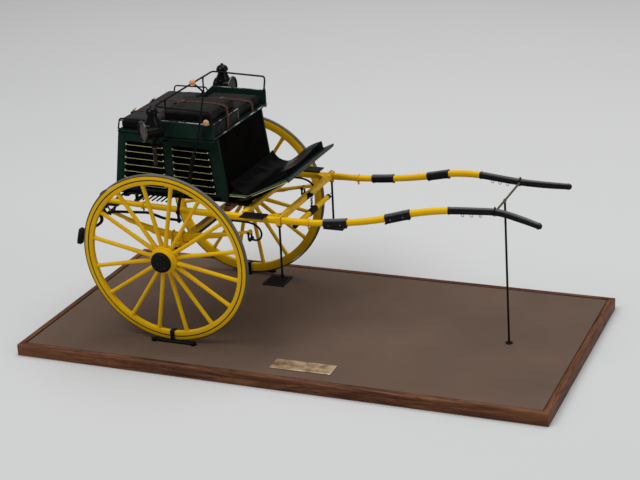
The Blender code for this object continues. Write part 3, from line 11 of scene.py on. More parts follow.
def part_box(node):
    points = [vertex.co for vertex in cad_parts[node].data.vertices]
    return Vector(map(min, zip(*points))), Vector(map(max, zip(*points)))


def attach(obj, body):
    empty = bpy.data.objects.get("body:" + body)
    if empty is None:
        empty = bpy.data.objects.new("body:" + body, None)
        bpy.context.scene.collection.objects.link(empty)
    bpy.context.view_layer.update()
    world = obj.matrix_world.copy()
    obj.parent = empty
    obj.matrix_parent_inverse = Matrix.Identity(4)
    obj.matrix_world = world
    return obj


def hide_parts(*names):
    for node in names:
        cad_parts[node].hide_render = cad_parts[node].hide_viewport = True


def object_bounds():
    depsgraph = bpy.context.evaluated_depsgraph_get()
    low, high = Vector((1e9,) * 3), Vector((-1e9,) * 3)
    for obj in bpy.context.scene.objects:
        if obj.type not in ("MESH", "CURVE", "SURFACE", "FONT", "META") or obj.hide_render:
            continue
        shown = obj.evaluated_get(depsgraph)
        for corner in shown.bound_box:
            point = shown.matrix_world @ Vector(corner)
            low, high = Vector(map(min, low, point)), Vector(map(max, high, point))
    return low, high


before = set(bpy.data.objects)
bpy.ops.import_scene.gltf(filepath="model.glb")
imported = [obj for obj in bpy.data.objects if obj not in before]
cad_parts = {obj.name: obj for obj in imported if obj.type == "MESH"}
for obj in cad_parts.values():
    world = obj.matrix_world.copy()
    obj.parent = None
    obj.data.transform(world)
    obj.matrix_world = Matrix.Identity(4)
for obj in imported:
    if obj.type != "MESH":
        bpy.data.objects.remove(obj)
CAD_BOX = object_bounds()

MM = 0.001
NEAR, FAR = -1, 1
SIDES = ((NEAR, "near"), (FAR, "far"))
Z_UP = Vector((0, 0, 1))


def node_box(*nodes):
    """Lowest and highest corner round some nodes of the frame, in metres."""
    corners = [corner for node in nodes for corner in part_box(node)]
    return [Vector([pick(values) for values in zip(*corners)]) for pick in (min, max)]


# The cart's own frame: millimetres from the point of the plinth's top under the axle
TYRES = sum(node_box("tyre_near", "tyre_far"), Vector()) / 2
ORIGIN = Vector((TYRES.x, TYRES.y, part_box("plinth_board")[1].z))
TO_ROOM = Matrix.Translation(ORIGIN) @ Matrix.Scale(MM, 4)


def local_box(node):
    return [(corner - ORIGIN) / MM for corner in node_box(node)]


# Places that several pieces share
CAMBER = math.radians(3.35)
WHEEL_Y, AXLE_Z = 99.3, 89.2
SPRING_Y = 68.1
SPLINTER_X, SWING_X = 111, 116.4
BODY_HALF, BODY_INNER = 54.3, 51
BODY_TOP, BODY_BOTTOM = 201.3, 137.3
SEAT_Z = 203.5
LAMP_X, LAMP_Y, LAMP_Z = -11.4, 80.3, 214.5
ROD_PIN = (6.7, 121.2)


# ---------------------------------------------------------------- shapes
def shift(*at):
    return Matrix.Translation(at)


def at_side(y, points):
    """A path drawn from the side, in the upright plane at y."""
    return [(x, y, z) for x, z in points]


def axis_place(at, direction=(0, 1, 0)):
    """Puts the origin at a point and the upward axis along a direction."""
    turn = Vector(direction).normalized().to_track_quat("Z", "Y")
    return Matrix.Translation(Vector(at)) @ turn.to_matrix().to_4x4()


def inset(outline, distance):
    """The outline moved inward by a distance."""
    points = [Vector(p) for p in outline]
    area = sum(a.x * b.y - b.x * a.y for a, b in zip(points, points[1:] + points[:1]))
    sign = 1 if area > 0 else -1
    moved = []
    for i, point in enumerate(points):
        a = (point - points[i - 1]).normalized()
        b = (points[(i + 1) % len(points)] - point).normalized()
        bisector = Vector((-(a.y + b.y), a.x + b.x)) * sign
        if bisector.length < 1e-6:
            bisector = Vector((-a.y, a.x)) * sign
        bisector.normalize()
        lean = max(0.45, abs(bisector.dot(Vector((-a.y, a.x)))))
        moved.append(point + bisector * (distance / lean))
    return moved


def round_rect(x0, x1, y0, y1, radius, steps=3):
    points = []
    for cx, cy, start in ((x1, y1, 0), (x0, y1, 0.5), (x0, y0, 1), (x1, y0, 1.5)):
        mx = cx - math.copysign(radius, cx - (x0 + x1) / 2)
        my = cy - math.copysign(radius, cy - (y0 + y1) / 2)
        for i in range(steps + 1):
            angle = math.pi * (start + 0.5 * i / steps)
            points.append((mx + radius * math.cos(angle), my + radius * math.sin(angle)))
    return points


def circle(radius, count=12):
    turn = 2 * math.pi / count
    return [(radius * math.cos(turn * i), radius * math.sin(turn * i)) for i in range(count)]


def bar(half_w, half_h, corner=0.3, steps=2):
    return round_rect(-half_w, half_w, -half_h, half_h, min(corner, half_w * 0.99, half_h * 0.99), steps)


def oval(half_w, half_h, count, power):
    points = []
    for i in range(count):
        angle = 2 * math.pi * i / count
        c, s = math.cos(angle), math.sin(angle)
        points.append((half_w * math.copysign(abs(c) ** (2 / power), c),
            half_h * math.copysign(abs(s) ** (2 / power), s)))
    return points


def smooth_path(points, per=6):
    """A curve through the points, with that many steps between one and the next."""
    points = [Vector(p) for p in points]
    last = len(points) - 1
    made = []
    for i in range(last):
        p = [points[max(0, min(last, i + k))] for k in (-1, 0, 1, 2)]
        for step in range(per):
            t = step / per
            made.append(0.5 * ((2 * p[1]) + (p[2] - p[0]) * t + (2 * p[0] - 5 * p[1] + 4 * p[2] - p[3]) * t
                * t + (3 * p[1] - p[0] - 3 * p[2] + p[3]) * t ** 3))
    made.append(points[-1])
    return made


def bent(points, radius, steps=4):
    """Straight runs between the points, with rounded corners."""
    points = [Vector(p) for p in points]
    made = [points[0]]
    for before, point, after in zip(points, points[1:], points[2:]):
        reach = min(radius, (before - point).length * 0.48, (after - point).length * 0.48)
        start = point + (before - point).normalized() * reach
        end = point + (after - point).normalized() * reach
        for i in range(steps + 1):
            t = i / steps
            made.append(start * (1 - t) ** 2 + point * (2 * t * (1 - t)) + end * t * t)
    made.append(points[-1])
    return made


def frames_along(path, up, loop=False):
    """Each point of a path with its sideways and its upward direction."""
    path = [Vector(p) for p in path]
    rows = []
    count = len(path)
    for i, point in enumerate(path):
        if loop:
            tangent = path[(i + 1) % count] - path[i - 1]
        else:
            tangent = path[min(i + 1, count - 1)] - path[max(i - 1, 0)]
        tangent.normalize()
        side = tangent.cross(Vector(up)).normalized()
        rows.append((point, side, side.cross(tangent)))
    return rows


class Shape:
    """A mesh being built in the cart's own frame; tint is the number of its current material."""

    def __init__(self, place=None):
        self.bm = bmesh.new()
        self.tint = 0
        self.place = place or Matrix()

    def ring(self, points, place=None):
        matrix = self.place @ place if place else self.place
        return [self.bm.verts.new(matrix @ Vector(p)) for p in points]

    def face(self, verts):
        verts = list(dict.fromkeys(verts))
        if len(verts) > 2:
            face = self.bm.faces.new(verts)
            face.material_index = self.tint
            face.smooth = True

    def join_rows(self, rows, loop=False, caps=True, tints=None):
        for i in range(len(rows) - (0 if loop else 1)):
            low, high = rows[i], rows[(i + 1) % len(rows)]
            steps = max(len(low), len(high))
            for k in range(steps):
                if tints:
                    self.tint = tints[k % len(tints)]
                j = (k + 1) % steps
                self.face((low[k % len(low)], low[j % len(low)], high[j % len(high)], high[k % len(high)]))
        if caps and not loop:
            self.face(rows[0][::-1])
            self.face(rows[-1])

    def skin(self, rings, place=None, **options):
        self.join_rows([self.ring(r, place) for r in rings], **options)

    def turned(self, profile, steps=20, place=None, loop=False):
        """Turns rows of (radius, height) or (radius, height, tint) round the upward axis."""
        rows = []
        for row in profile:
            radius, height = row[:2]
            points = circle(radius, steps) if radius else [(0, 0)]
            rows.append(self.ring([(x, y, height) for x, y in points], place))
        for i in range(len(rows) - (0 if loop else 1)):
            if len(profile[i]) > 2:
                self.tint = profile[i][2]
            self.join_rows([rows[i], rows[(i + 1) % len(rows)]], caps=False)
        if not loop:
            self.face(rows[0][::-1])
            self.face(rows[-1])

    def sweep(self, path, profile, up=Z_UP, sizes=None, loop=False, place=None):
        """Runs a profile along a path; sizes scale it at each point."""
        rings = []
        for i, (point, side, top) in enumerate(frames_along(path, up, loop)):
            size = sizes[i] if sizes else (1, 1)
            rings.append([point + side * (a * size[0]) + top * (b * size[1]) for a, b in profile])
        self.skin(rings, place, loop=loop)

    def rod(self, a, b, radius, steps=12, edge=0.15):
        a, b = Vector(a), Vector(b)
        length = (b - a).length
        self.turned(((0, 0), (radius - edge, 0), (radius, edge), (radius, length - edge),
            (radius - edge, length), (0, length)), steps, axis_place(a, b - a))

    def boss(self, place, radius, half, edge=0.2, deep=None, bore=0, steps=20):
        """A short drum with chamfered ends, edge across and deep along it; a ring if it has a bore."""
        deep = deep or edge
        self.turned(((bore, -half), (radius - edge, -half), (radius, deep - half), (radius, half - deep),
            (radius - edge, half), (bore, half)), steps, place, loop=bore > 0)

    def plate(self, outline, low, high, axis=2, edge=0.25):
        """An outline in the plane across axis, run from low to high with soft edges."""
        low, high = min(low, high), max(low, high)
        edge = min(edge, (high - low) * 0.45)
        inner = inset(outline, edge)
        rings = []
        for line, along in ((inner, low), (outline, low + edge), (outline, high - edge), (inner, high)):
            ring = []
            for a, b in line:
                point = [a, b]
                point.insert(axis, along)
                ring.append(point)
            rings.append(ring)
        self.skin(rings)

    def block(self, x0, x1, y0, y1, z0, z1, edge=0.3):
        y0, y1 = min(y0, y1), max(y0, y1)
        edge = min(edge, (x1 - x0) * 0.4, (y1 - y0) * 0.4)
        self.plate(round_rect(x0, x1, y0, y1, edge, 2), z0, z1, 2, edge)

    def stud(self, at, direction, radius, height=None, steps=10):
        height = radius * 0.6 if height is None else height
        self.turned(((radius, -0.15), (radius, 0), (radius * 0.86, height * 0.55),
            (radius * 0.5, height * 0.9), (0, height)), steps, axis_place(at, direction))

    def nut(self, at, direction, radius, height):
        place = axis_place(at, direction)
        self.turned(((radius * 0.5, -0.1), (radius, -0.1), (radius, height * 0.8), (radius * 0.8, height)),
            6, place)
        self.turned(((radius * 0.45, 0), (radius * 0.45, height + 0.5), (0, height + 0.7)), 8, place)


def piece(name, shape, finishes, node=None, body="cart", sharp=38):
    """Makes a shape an object that rides on a body and, mostly, stands for a node of the frame."""
    bmesh.ops.recalc_face_normals(shape.bm, faces=shape.bm.faces)
    shape.bm.transform(TO_ROOM)
    mesh = bpy.data.meshes.new(name)
    shape.bm.to_mesh(mesh)
    shape.bm.free()
    mesh.set_sharp_from_angle(angle=math.radians(sharp))
    obj = bpy.data.objects.new(name, mesh)
    bpy.context.scene.collection.objects.link(obj)
    for finish in finishes if isinstance(finishes, list) else [finishes]:
        mesh.materials.append(finish)
    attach(obj, body)
    if node:
        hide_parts(node)
    return obj


# ---------------------------------------------------------------- materials
class Finish:
    """A procedural material. Colour, roughness and bump come from noise in object coordinates."""

    def __init__(self, name, rough=0.5, metal=0, coat=0, coat_rough=0.1, specular=0.5):
        self.material = bpy.data.materials.new(name)
        self.material.use_nodes = True
        self.tree = self.material.node_tree
        self.shader = self.tree.nodes["Principled BSDF"]
        for socket, value in (("Roughness", rough), ("Metallic", metal), ("Coat Weight", coat),
                ("Coat Roughness", coat_rough), ("Specular IOR Level", specular)):
            self.shader.inputs[socket].default_value = value
        self.space = self.add("ShaderNodeTexCoord").outputs["Object"]

    def add(self, kind, settings=None, **inputs):
        node = self.tree.nodes.new(kind)
        for key, value in (settings or {}).items():
            setattr(node, key, value)
        for key, value in inputs.items():
            self.put(value, node.inputs[key.replace("_", " ")])
        return node

    def put(self, value, socket):
        if isinstance(value, bpy.types.NodeSocket):
            self.tree.links.new(value, socket)
        elif isinstance(value, (tuple, list)) and len(value) == 3 and len(socket.default_value) == 4:
            socket.default_value = (*value, 1)
        else:
            socket.default_value = value

    def stretched(self, stretch):
        if stretch is None:
            return self.space
        return self.add("ShaderNodeMapping", Vector=self.space, Scale=stretch).outputs["Vector"]

    def noise(self, scale, detail=3, rough=0.55, stretch=None, distortion=0):
        return self.add("ShaderNodeTexNoise", Vector=self.stretched(stretch), Scale=scale, Detail=detail,
            Roughness=rough, Distortion=distortion).outputs["Fac"]

    def cells(self, scale):
        return self.add("ShaderNodeTexVoronoi", Vector=self.space, Scale=scale).outputs["Distance"]

    def span(self, value, low, high, to_low=0, to_high=1):
        node = self.add("ShaderNodeMapRange", Value=value)
        for key, number in (("From Min", low), ("From Max", high), ("To Min", to_low), ("To Max", to_high)):
            node.inputs[key].default_value = number
        return node.outputs["Result"]

    def mix(self, share, a, b):
        node = self.tree.nodes.new("ShaderNodeMix")
        node.data_type = "RGBA"
        for value, socket in ((share, node.inputs[0]), (a, node.inputs[6]), (b, node.inputs[7])):
            self.put(value, socket)
        return node.outputs[2]

    def times(self, a, b):
        node = self.add("ShaderNodeMath", {"operation": "MULTIPLY"})
        self.put(a, node.inputs[0])
        self.put(b, node.inputs[1])
        return node.outputs[0]

    # Mask of painted shade: ambient occlusion, near 1 in crevices and corners
    def crevice_shade(self, distance=3, low=0.35, high=0.95):
        node = self.add("ShaderNodeAmbientOcclusion", {"samples": 6}, Distance=distance * MM)
        return self.span(node.outputs["AO"], low, high, 1, 0)

    def edges(self, low, high):
        return self.span(self.add("ShaderNodeNewGeometry").outputs["Pointiness"], low, high)

    def bump(self, height, distance, strength=1, normal=None):
        node = self.add("ShaderNodeBump", Height=height, Distance=distance * MM, Strength=strength)
        if normal:
            self.put(normal, node.inputs["Normal"])
        return node.outputs["Normal"]

    def done(self, color=None, rough=None, normal=None):
        for value, socket in ((color, "Base Color"), (rough, "Roughness"), (normal, "Normal")):
            if value is not None:
                self.put(value, self.shader.inputs[socket])
        return self.material


def paint(name, light, dark, dirt_and_crevice_shade, rough=0.4, coat=0, specular=0.2, crevice_shade=2, chips=None):
    f = Finish(name, coat=coat, coat_rough=0.12, specular=specular)
    tone = f.span(f.noise(35, 4), 0.3, 0.7)
    color = f.mix(tone, dark, light)
    fine = f.span(f.noise(900, 2), 0.4, 0.8)
    color = f.mix(f.times(fine, 0.1), color, dirt_and_crevice_shade)
    # Painted shade: crevices and corners darken toward the dark mixing colour; the fine speckle above is
    # real dirt
    color = f.mix(f.times(f.crevice_shade(crevice_shade, 0.2, 0.8), 0.45), color, dirt_and_crevice_shade)
    if chips:
        worn = f.times(f.edges(0.56, 0.64), f.span(f.noise(400, 3), 0.55, 0.65))
        color = f.mix(f.times(worn, 0.6), color, chips)
    gloss = f.span(f.noise(160, 4), 0.3, 0.75, rough * 0.8, rough * 1.4)
    waves = f.bump(f.noise(260, 2), 0.06, 0.2)
    return f.done(color, gloss, f.bump(f.noise(1500, 2), 0.015, 0.2, waves))


def leather(name, light, dark, grain=1300, rough=0.5, specular=0.12, depth=0.09, wear=None, top=None,
        rise=(0.4, 0.95)):
    """Pored hide; wear lightens its edges, and top is a painted highlight on what faces up by more than the
    rise.
    """
    f = Finish(name, coat_rough=0.25, specular=specular)
    tone = f.span(f.noise(45, 5, 0.6), 0.3, 0.72)
    color = f.mix(tone, dark, light)
    pores = f.cells(grain)
    color = f.mix(f.span(pores, 0.05, 0.45, 0.35, 0), color, dark)
    if wear:
        rubbed = f.times(f.edges(0.51, 0.57), f.span(f.noise(220, 4), 0.35, 0.65))
        color = f.mix(f.times(rubbed, 0.6), color, wear)
    if top:
        # Painted highlight: faces that point up take the top colour, standing in for the light from above
        facing = f.add("ShaderNodeSeparateXYZ", Vector=f.add("ShaderNodeNewGeometry").outputs["Normal"])
        painted_top_sheen = f.times(f.span(facing.outputs["Z"], *rise), f.span(tone, 0, 1, 0.7, 1))
        color = f.mix(painted_top_sheen, color, top)
    gloss = f.span(f.noise(120, 4), 0.3, 0.75, rough * 0.8, rough * 1.3)
    wrinkle = f.bump(f.noise(180, 4, 0.6), 0.2, 0.3)
    return f.done(color, gloss, f.bump(pores, depth, 0.5, wrinkle))


def wood(name, light, dark, along, coat=0.08, scale=90, specular=0.15):
    f = Finish(name, coat=coat, coat_rough=0.2, specular=specular)
    stretch = [1, 1, 1]
    stretch[along] = 0.07
    figure = f.noise(scale, 6, 0.68, stretch, 1.3)
    streak = f.noise(scale * 8, 3, 0.55, stretch)
    color = f.mix(f.span(figure, 0.36, 0.64), dark, light)
    color = f.mix(f.span(streak, 0.48, 0.66, 0, 0.75), color, dark)
    color = f.mix(f.times(f.edges(0.52, 0.58), 0.35), color, light)
    gloss = f.span(streak, 0.3, 0.7, 0.3375, 0.6075)
    return f.done(color, gloss, f.bump(streak, 0.08, 0.4))


def metal(name, light, dark, rough=0.3, scale=500, metallic=1, stretch=None):
    f = Finish(name, metal=metallic)
    scratches = f.noise(scale, 4, 0.6, stretch)
    color = f.mix(f.span(f.noise(80, 4), 0.3, 0.7), dark, light)
    # Painted shade: hollows darken toward a quarter of the dark tone
    color = f.mix(f.times(f.crevice_shade(1.5), 0.6), color, [c * 0.25 for c in dark])
    gloss = f.span(scratches, 0.3, 0.7, rough * 0.7, rough * 1.4)
    return f.done(color, gloss, f.bump(scratches, 0.02, 0.3))


def covering():
    """The plinth's matt cloth covering, with pale lint."""
    f = Finish("plinth_covering", rough=0.85, specular=0.1)
    color = f.mix(f.span(f.noise(14, 5, 0.6), 0.3, 0.7), (0.107, 0.07, 0.05), (0.136, 0.09, 0.066))
    color = f.mix(f.span(f.noise(1400, 2), 0.3, 0.75, 0, 0.55), color, (0.085, 0.055, 0.041))
    lint = f.span(f.cells(95), 0.035, 0.02)
    color = f.mix(f.times(lint, 0.35), color, (0.34, 0.29, 0.24))
    weave = f.bump(f.noise(2200, 3), 0.06, 0.55)
    gloss = f.span(f.noise(500, 3), 0.3, 0.7, 0.68, 0.92)
    return f.done(color, gloss, f.bump(f.noise(30, 3), 0.5, 0.2, weave))


def rubber():
    f = Finish("tyre_rubber", rough=0.7, specular=0.15)
    color = f.mix(f.span(f.noise(60, 5), 0.3, 0.7), (0.085, 0.076, 0.069), (0.125, 0.114, 0.105))
    color = f.mix(f.span(f.noise(900, 3), 0.5, 0.72, 0, 0.5), color, (0.17, 0.155, 0.145))
    gloss = f.span(f.noise(300, 3), 0.3, 0.7, 0.55, 0.85)
    return f.done(color, gloss, f.bump(f.noise(1200, 3), 0.06, 0.5))


def glass():
    f = Finish("lamp_glass", rough=0.08, specular=0.06)
    smear = f.span(f.noise(90, 4), 0.35, 0.7, 0.04, 0.16)
    color = f.mix(f.span(f.noise(220, 3), 0.3, 0.7), (0.014, 0.01, 0.008), (0.048, 0.035, 0.027))
    return f.done(color, smear, f.bump(f.noise(60, 2), 0.1, 0.2))


def worn_piping():
    """Pale welt whose dark dressing has rubbed off in long patches."""
    f = Finish("worn_piping", rough=0.45, specular=0.2)
    patches = f.span(f.noise(55, 5, 0.7), 0.46, 0.54)
    speckle = f.span(f.noise(700, 3), 0.4, 0.6)
    pale = f.mix(speckle, (0.26, 0.25, 0.23), (0.46, 0.45, 0.42))
    color = f.mix(patches, (0.012, 0.014, 0.013), pale)
    gloss = f.span(speckle, 0, 1, 0.35, 0.6)
    return f.done(color, gloss, f.bump(speckle, 0.04, 0.5))


YELLOW = paint("coach_yellow", (0.77, 0.45, 0.006), (0.69, 0.385, 0.004), (0.24, 0.12, 0.003), rough=0.28,
    specular=0.045, crevice_shade=1.2, chips=(0.2, 0.1, 0.03))
GREEN = paint("coach_green", (0.0085, 0.026, 0.018), (0.0052, 0.016, 0.011), (0.003, 0.005, 0.004),
    rough=0.36, specular=0.05)
BLACK = paint("black_iron_paint", (0.0075, 0.0075, 0.0078), (0.004, 0.004, 0.0042), (0.01, 0.008, 0.007),
    rough=0.34, specular=0.06, chips=(0.03, 0.027, 0.024))
JAPAN = paint("lamp_japan", (0.004, 0.004, 0.0045), (0.002, 0.002, 0.0022), (0.006, 0.005, 0.004),
    rough=0.13, specular=0.1)
# Matt black for dark grooves and bands, also used as painted shade in slots and gaps
MATT_BLACK_AND_SHADE = paint("matt_black_and_shade", (0.0022, 0.0024, 0.0022), (0.001, 0.001, 0.001), (0.001, 0.001, 0.001),
    rough=0.7, specular=0)
CREAM = paint("cream_lining", (0.58, 0.57, 0.25), (0.42, 0.42, 0.16), (0.16, 0.17, 0.05), coat=0.1,
    crevice_shade=0.8)
LINE = paint("dark_lining", (0.02, 0.011, 0.003), (0.01, 0.006, 0.002), (0.008, 0.005, 0.002), coat=0.05,
    specular=0.12, crevice_shade=1)
HIDE = leather("black_leather", (0.0072, 0.007, 0.0071), (0.004, 0.004, 0.0041), rough=0.45, specular=0.03,
    wear=(0.03, 0.029, 0.028))
# Its top colour is a painted highlight line along the upper side of the sleeves
SLEEVE_HIDE = leather("sleeve_leather", (0.006, 0.006, 0.0064), (0.0032, 0.0032, 0.0034), rough=0.3,
    specular=0.12, depth=0.05, wear=(0.03, 0.029, 0.028), top=(0.105, 0.107, 0.112), rise=(0.62, 0.95))
# The top colours of the seat and rear hides are painted highlight on the cushions' upper faces
SEAT_HIDE = leather("seat_leather", (0.01, 0.0092, 0.0094), (0.0056, 0.0052, 0.0053), grain=1100, rough=0.5,
    specular=0.05, depth=0.1, wear=(0.022, 0.02, 0.02), top=(0.015, 0.0138, 0.0138))
REAR_HIDE = leather("rear_seat_leather", (0.0062, 0.0057, 0.0057), (0.0034, 0.0032, 0.0032), grain=1100,
    rough=0.5, specular=0.05, depth=0.1, wear=(0.028, 0.026, 0.025), top=(0.029, 0.0272, 0.0272))
KNEE_HIDE = leather("knee_leather", (0.0046, 0.0038, 0.0032), (0.0024, 0.002, 0.0017), grain=900,
    rough=0.75, specular=0.01, depth=0.12)
# Its top colour is a painted highlight on the apron's up-facing ridges
APRON_HIDE = leather("apron_leather", (0.0028, 0.0028, 0.003), (0.0014, 0.0014, 0.0015), grain=1500,
    rough=0.3, specular=0.014, depth=0.04, top=(0.007, 0.007, 0.0075), rise=(0.86, 1))
TAN = leather("strap_leather", (0.078, 0.027, 0.016), (0.04, 0.014, 0.009), grain=1600, rough=0.5,
    depth=0.05, specular=0.08, wear=(0.15, 0.062, 0.038))
EDGE_HIDE = leather("edge_leather", (0.055, 0.058, 0.05), (0.022, 0.026, 0.021), grain=1400, rough=0.5,
    specular=0.15, depth=0.05)
TUBE_HIDE = leather("tube_leather", (0.04, 0.019, 0.014), (0.022, 0.01, 0.008), grain=1500, rough=0.45,
    specular=0.2, depth=0.05)
PIPING = worn_piping()
RUBBER = rubber()
COVERING = covering()
WOOD_X, WOOD_Y = [wood("moulding_" + way, (0.2, 0.08, 0.036), (0.036, 0.014, 0.008), axis, coat=0,
    specular=0.08, scale=170) for axis, way in enumerate("xy")]
BLOCK_WOOD = wood("block_wood", (0.13, 0.034, 0.012), (0.055, 0.014, 0.006), 1)
KNOB_WOOD = wood("knob_wood", (0.72, 0.35, 0.165), (0.5, 0.21, 0.085), 2, coat=0.2, scale=120)
BRASS = metal("plaque_brass", (0.74, 0.55, 0.36), (0.17, 0.095, 0.022), rough=0.42, scale=330, metallic=0.6,
    stretch=(0.3, 1, 1))
STEEL = metal("dull_steel", (0.36, 0.345, 0.32), (0.2, 0.19, 0.175), rough=0.36)
OLD_BRASS = metal("old_brass", (0.155, 0.105, 0.06), (0.085, 0.058, 0.034), rough=0.45, metallic=0.6)
RIM = metal("dark_nickel", (0.15, 0.135, 0.115), (0.07, 0.06, 0.05), rough=0.3)
GLASS = glass()


# ---------------------------------------------------------------- plinth
def make_plinth():
    low, high = local_box("plinth_molding")
    width = 6.4
    top = high.z
    profile = [(0, low.z), (0, low.z + 0.6), (0.25, low.z + 1), (0, low.z + 1.4), (0, top - 1.75),
        (0.12, top - 1.05), (0.5, top - 0.45), (1.05, top - 0.12), (1.7, top), (4.5, top),
        (4.85, top - 0.14), (5.1, top - 0.42), (5.35, top - 0.42), (5.7, top - 0.16), (6.05, top - 0.12),
        (6.3, top - 0.25), (width, top - 0.42), (width, low.z)]
    shape = Shape()
    seam = 0.035
    corners = [(low.x, low.y, 1, 1), (high.x, low.y, -1, 1), (high.x, high.y, -1, -1),
        (low.x, high.y, 1, -1)]
    for k in range(4):
        shape.tint = k % 2
        rings = []
        for cx, cy, sx, sy in (corners[k], corners[(k + 1) % 4]):
            ring = []
            for inward, z in profile:
                x, y = cx + sx * inward, cy + sy * inward
                # The mitres stand a hair apart
                if k % 2 == 0:
                    x += seam * sx
                else:
                    y += seam * sy
                ring.append((x, y, z))
            rings.append(ring)
        first, last = rings
        steps = 8
        shape.skin([[Vector(a).lerp(Vector(b), i / steps) for a, b in zip(first, last)]
            for i in range(steps + 1)])
    piece("moulding", shape, [WOOD_X, WOOD_Y], "plinth_molding", sharp=30)
    # Black strip where the covering meets the moulding, wider along the low-x and high-y edges: painted
    # shade under the moulding's raised inner face
    shape = Shape()
    x0, x1 = low.x + width, high.x - width
    y0, y1 = low.y + width, high.y - width
    section = ((-0.35, -0.4), (-0.35, 0.1), (-0.1, 0.16), (0.55, 0.14), (0.75, -0.02), (0.75, -0.4))
    shape.skin([[(x + sx * i * (2 if sx > 0 else 1), y + sy * i * (1.6 if sy < 0 else 1), z)
        for i, z in section] for x, y, sx, sy in ((x0, y0, 1, 1), (x1, y0, -1, 1), (x1, y1, -1, -1),
        (x0, y1, 1, -1))], loop=True, caps=False)
    piece("plinth_gap", shape, MATT_BLACK_AND_SHADE)

    low, high = local_box("name_plaque")
    centre = (low + high) / 2
    half_l, half_w = 31.2, 10
    shape = Shape(shift(centre.x, centre.y, low.z) @ Matrix.Rotation(math.radians(0.8), 4, "Z"))
    rings = []
    for d, z in ((0, 0), (0, 0.55), (0.35, 0.9), (1.15, 0.9), (1.3, 0.8), (1.5, 0.8), (1.65, 0.88),
            (2.2, 0.88)):
        rings.append([(x, y, z) for x, y in round_rect(d - half_l, half_l - d, d - half_w, half_w - d, 0.4,
            2)])
    shape.skin(rings)
    for sx in (-1, 1):
        for sy in (-1, 1):
            shape.stud((sx * (half_l - 2.9), sy * (half_w - 2.9), 0.86), (0, 0, 1), 0.55, 0.3)
    piece("plaque", shape, BRASS, "name_plaque")


# ---------------------------------------------------------------- wheels
SPOKES = 16
WHEEL_RADIUS, TYRE_THICK, FELLOE_DEPTH = 88.9, 1.5, 8.6


def wheel_place(s):
    out = Vector((0, s * math.cos(CAMBER), -math.sin(CAMBER)))
    across = Vector((1, 0, 0))
    turn = Matrix((across, out.cross(across), out)).transposed().to_4x4()
    return shift(0, s * WHEEL_Y, AXLE_Z) @ turn


def make_wheel(s, side):
    outer, inner, half = 87.1, 78.5, 2.5
    line = (83.85, 82.65)
    shape = Shape(wheel_place(s))
    count = SPOKES * 12
    rings = []
    for i in range(count):
        angle = 2 * math.pi * (i + 0.5) / count
        part = (i + 0.5) / 12 - 0.5
        away = abs(part - round(part))
        chamfer = 0.25 + 0.75 * min(1, max(0, (away - 0.07) / 0.09))
        profile = [(outer, half - 0.1), (outer - 0.15, half), (line[0], half), (line[1], half),
            (inner + chamfer, half), (inner + chamfer * 0.3, half - chamfer * 0.3), (inner, half - chamfer),
            (inner, chamfer - half), (inner + chamfer * 0.3, chamfer * 0.3 - half),
            (inner + chamfer, -half), (outer - 0.15, -half), (outer, 0.1 - half)]
        rings.append([(r * math.cos(angle), r * math.sin(angle), z) for r, z in profile])
    shape.skin(rings, loop=True, tints=[0, 0, 1] + [0] * 9)
    shape.tint = 0
    for i in range(SPOKES):
        angle = 2 * math.pi * (i + 0.5) / SPOKES
        out = Vector((math.cos(angle), math.sin(angle), 0))
        stagger = Vector((0, 0, 1.1 * (1 if i % 2 else -1)))
        radii = (11, 14, 17, 21, 30, 42, 56, 68, 75, 77.5, 79.3)
        widths = (2.1, 2.2, 2.15, 2.1, 2.05, 1.95, 1.9, 1.9, 2, 2.2, 2.2)
        depths = (2.5, 2.5, 2.35, 2.2, 2.1, 2, 1.95, 1.95, 2, 2.1, 2.1)
        path, sizes = [], []
        for r, w, d in zip(radii, widths, depths):
            path.append(out * r + stagger * (1 - (r - 11) / 68.3))
            sizes.append((w, d))
        shape.sweep(path, oval(1, 1, 12, 2.4), (0, 0, 1), sizes)
    # Nave, from its stepped front to its back
    shape.turned(((0, 8.15), (10.2, 8.15), (10.8, 8), (10.93, 7.6), (10.93, 6.7), (11.3, 6.45),
        (11.9, 6.25), (12.13, 5.9), (12.13, 5), (12.3, 4.65), (13.4, 4.4), (14, 3.95), (14.1, 3.3),
        (14, 2.6), (13.9, 2.2), (13.9, -2), (14.1, -2.6), (13.9, -3.3), (12.9, -4.1), (11.2, -5.2),
        (9.6, -6.6), (9, -7.2), (8.9, -8.1), (8.4, -8.6), (7, -9.6), (6.6, -9.95), (3.1, -9.95), (3, -8),
        (0, -7.8)), 48)
    piece("wheel_wood_" + side, shape, [YELLOW, LINE], "wheel_" + side, "wheel_" + side, 40)

    shape = Shape(wheel_place(s))
    shape.turned(((87.42, 2.2, 1), (87.42, -2.2, 1), (87.5, -2.3, 1), (87.9, -2.3, 0), (88.2, -2.2, 0),
        (88.6, -1.75, 0), (88.85, -0.9, 0), (88.9, 0, 0), (88.85, 0.9, 0), (88.6, 1.75, 0), (88.2, 2.2, 0),
        (87.9, 2.3, 0), (87.8, 2.3, 1), (87.5, 2.3, 1)), 144, loop=True)
    piece("tyre_" + side + "_rubber", shape, [RUBBER, BLACK], "tyre_" + side,
        "wheel_" + side, 40)

    shape = Shape(wheel_place(s))
    face = 8.5
    shape.turned(((0, face), (10.3, face), (10.7, face + 0.3), (10.7, face + 0.9), (10.35, face + 1.15),
        (10.35, face + 1.5), (10.1, face + 2.6), (9.3, face + 3.5), (7.6, face + 4.05), (5.2, face + 4.3),
        (4.9, face + 4.22), (4.6, face + 4.34), (0, face + 4.4)), 40)
    shape.tint = 1
    for angle in (1.9, 5.6):
        shape.stud((6.6 * math.cos(angle), 6.6 * math.sin(angle), face + 4.1), (0, 0, 1), 0.4, 0.2)
    piece("cap_" + side, shape, [BLACK, STEEL], "hub_cap_" + side, "wheel_" + side, 32)


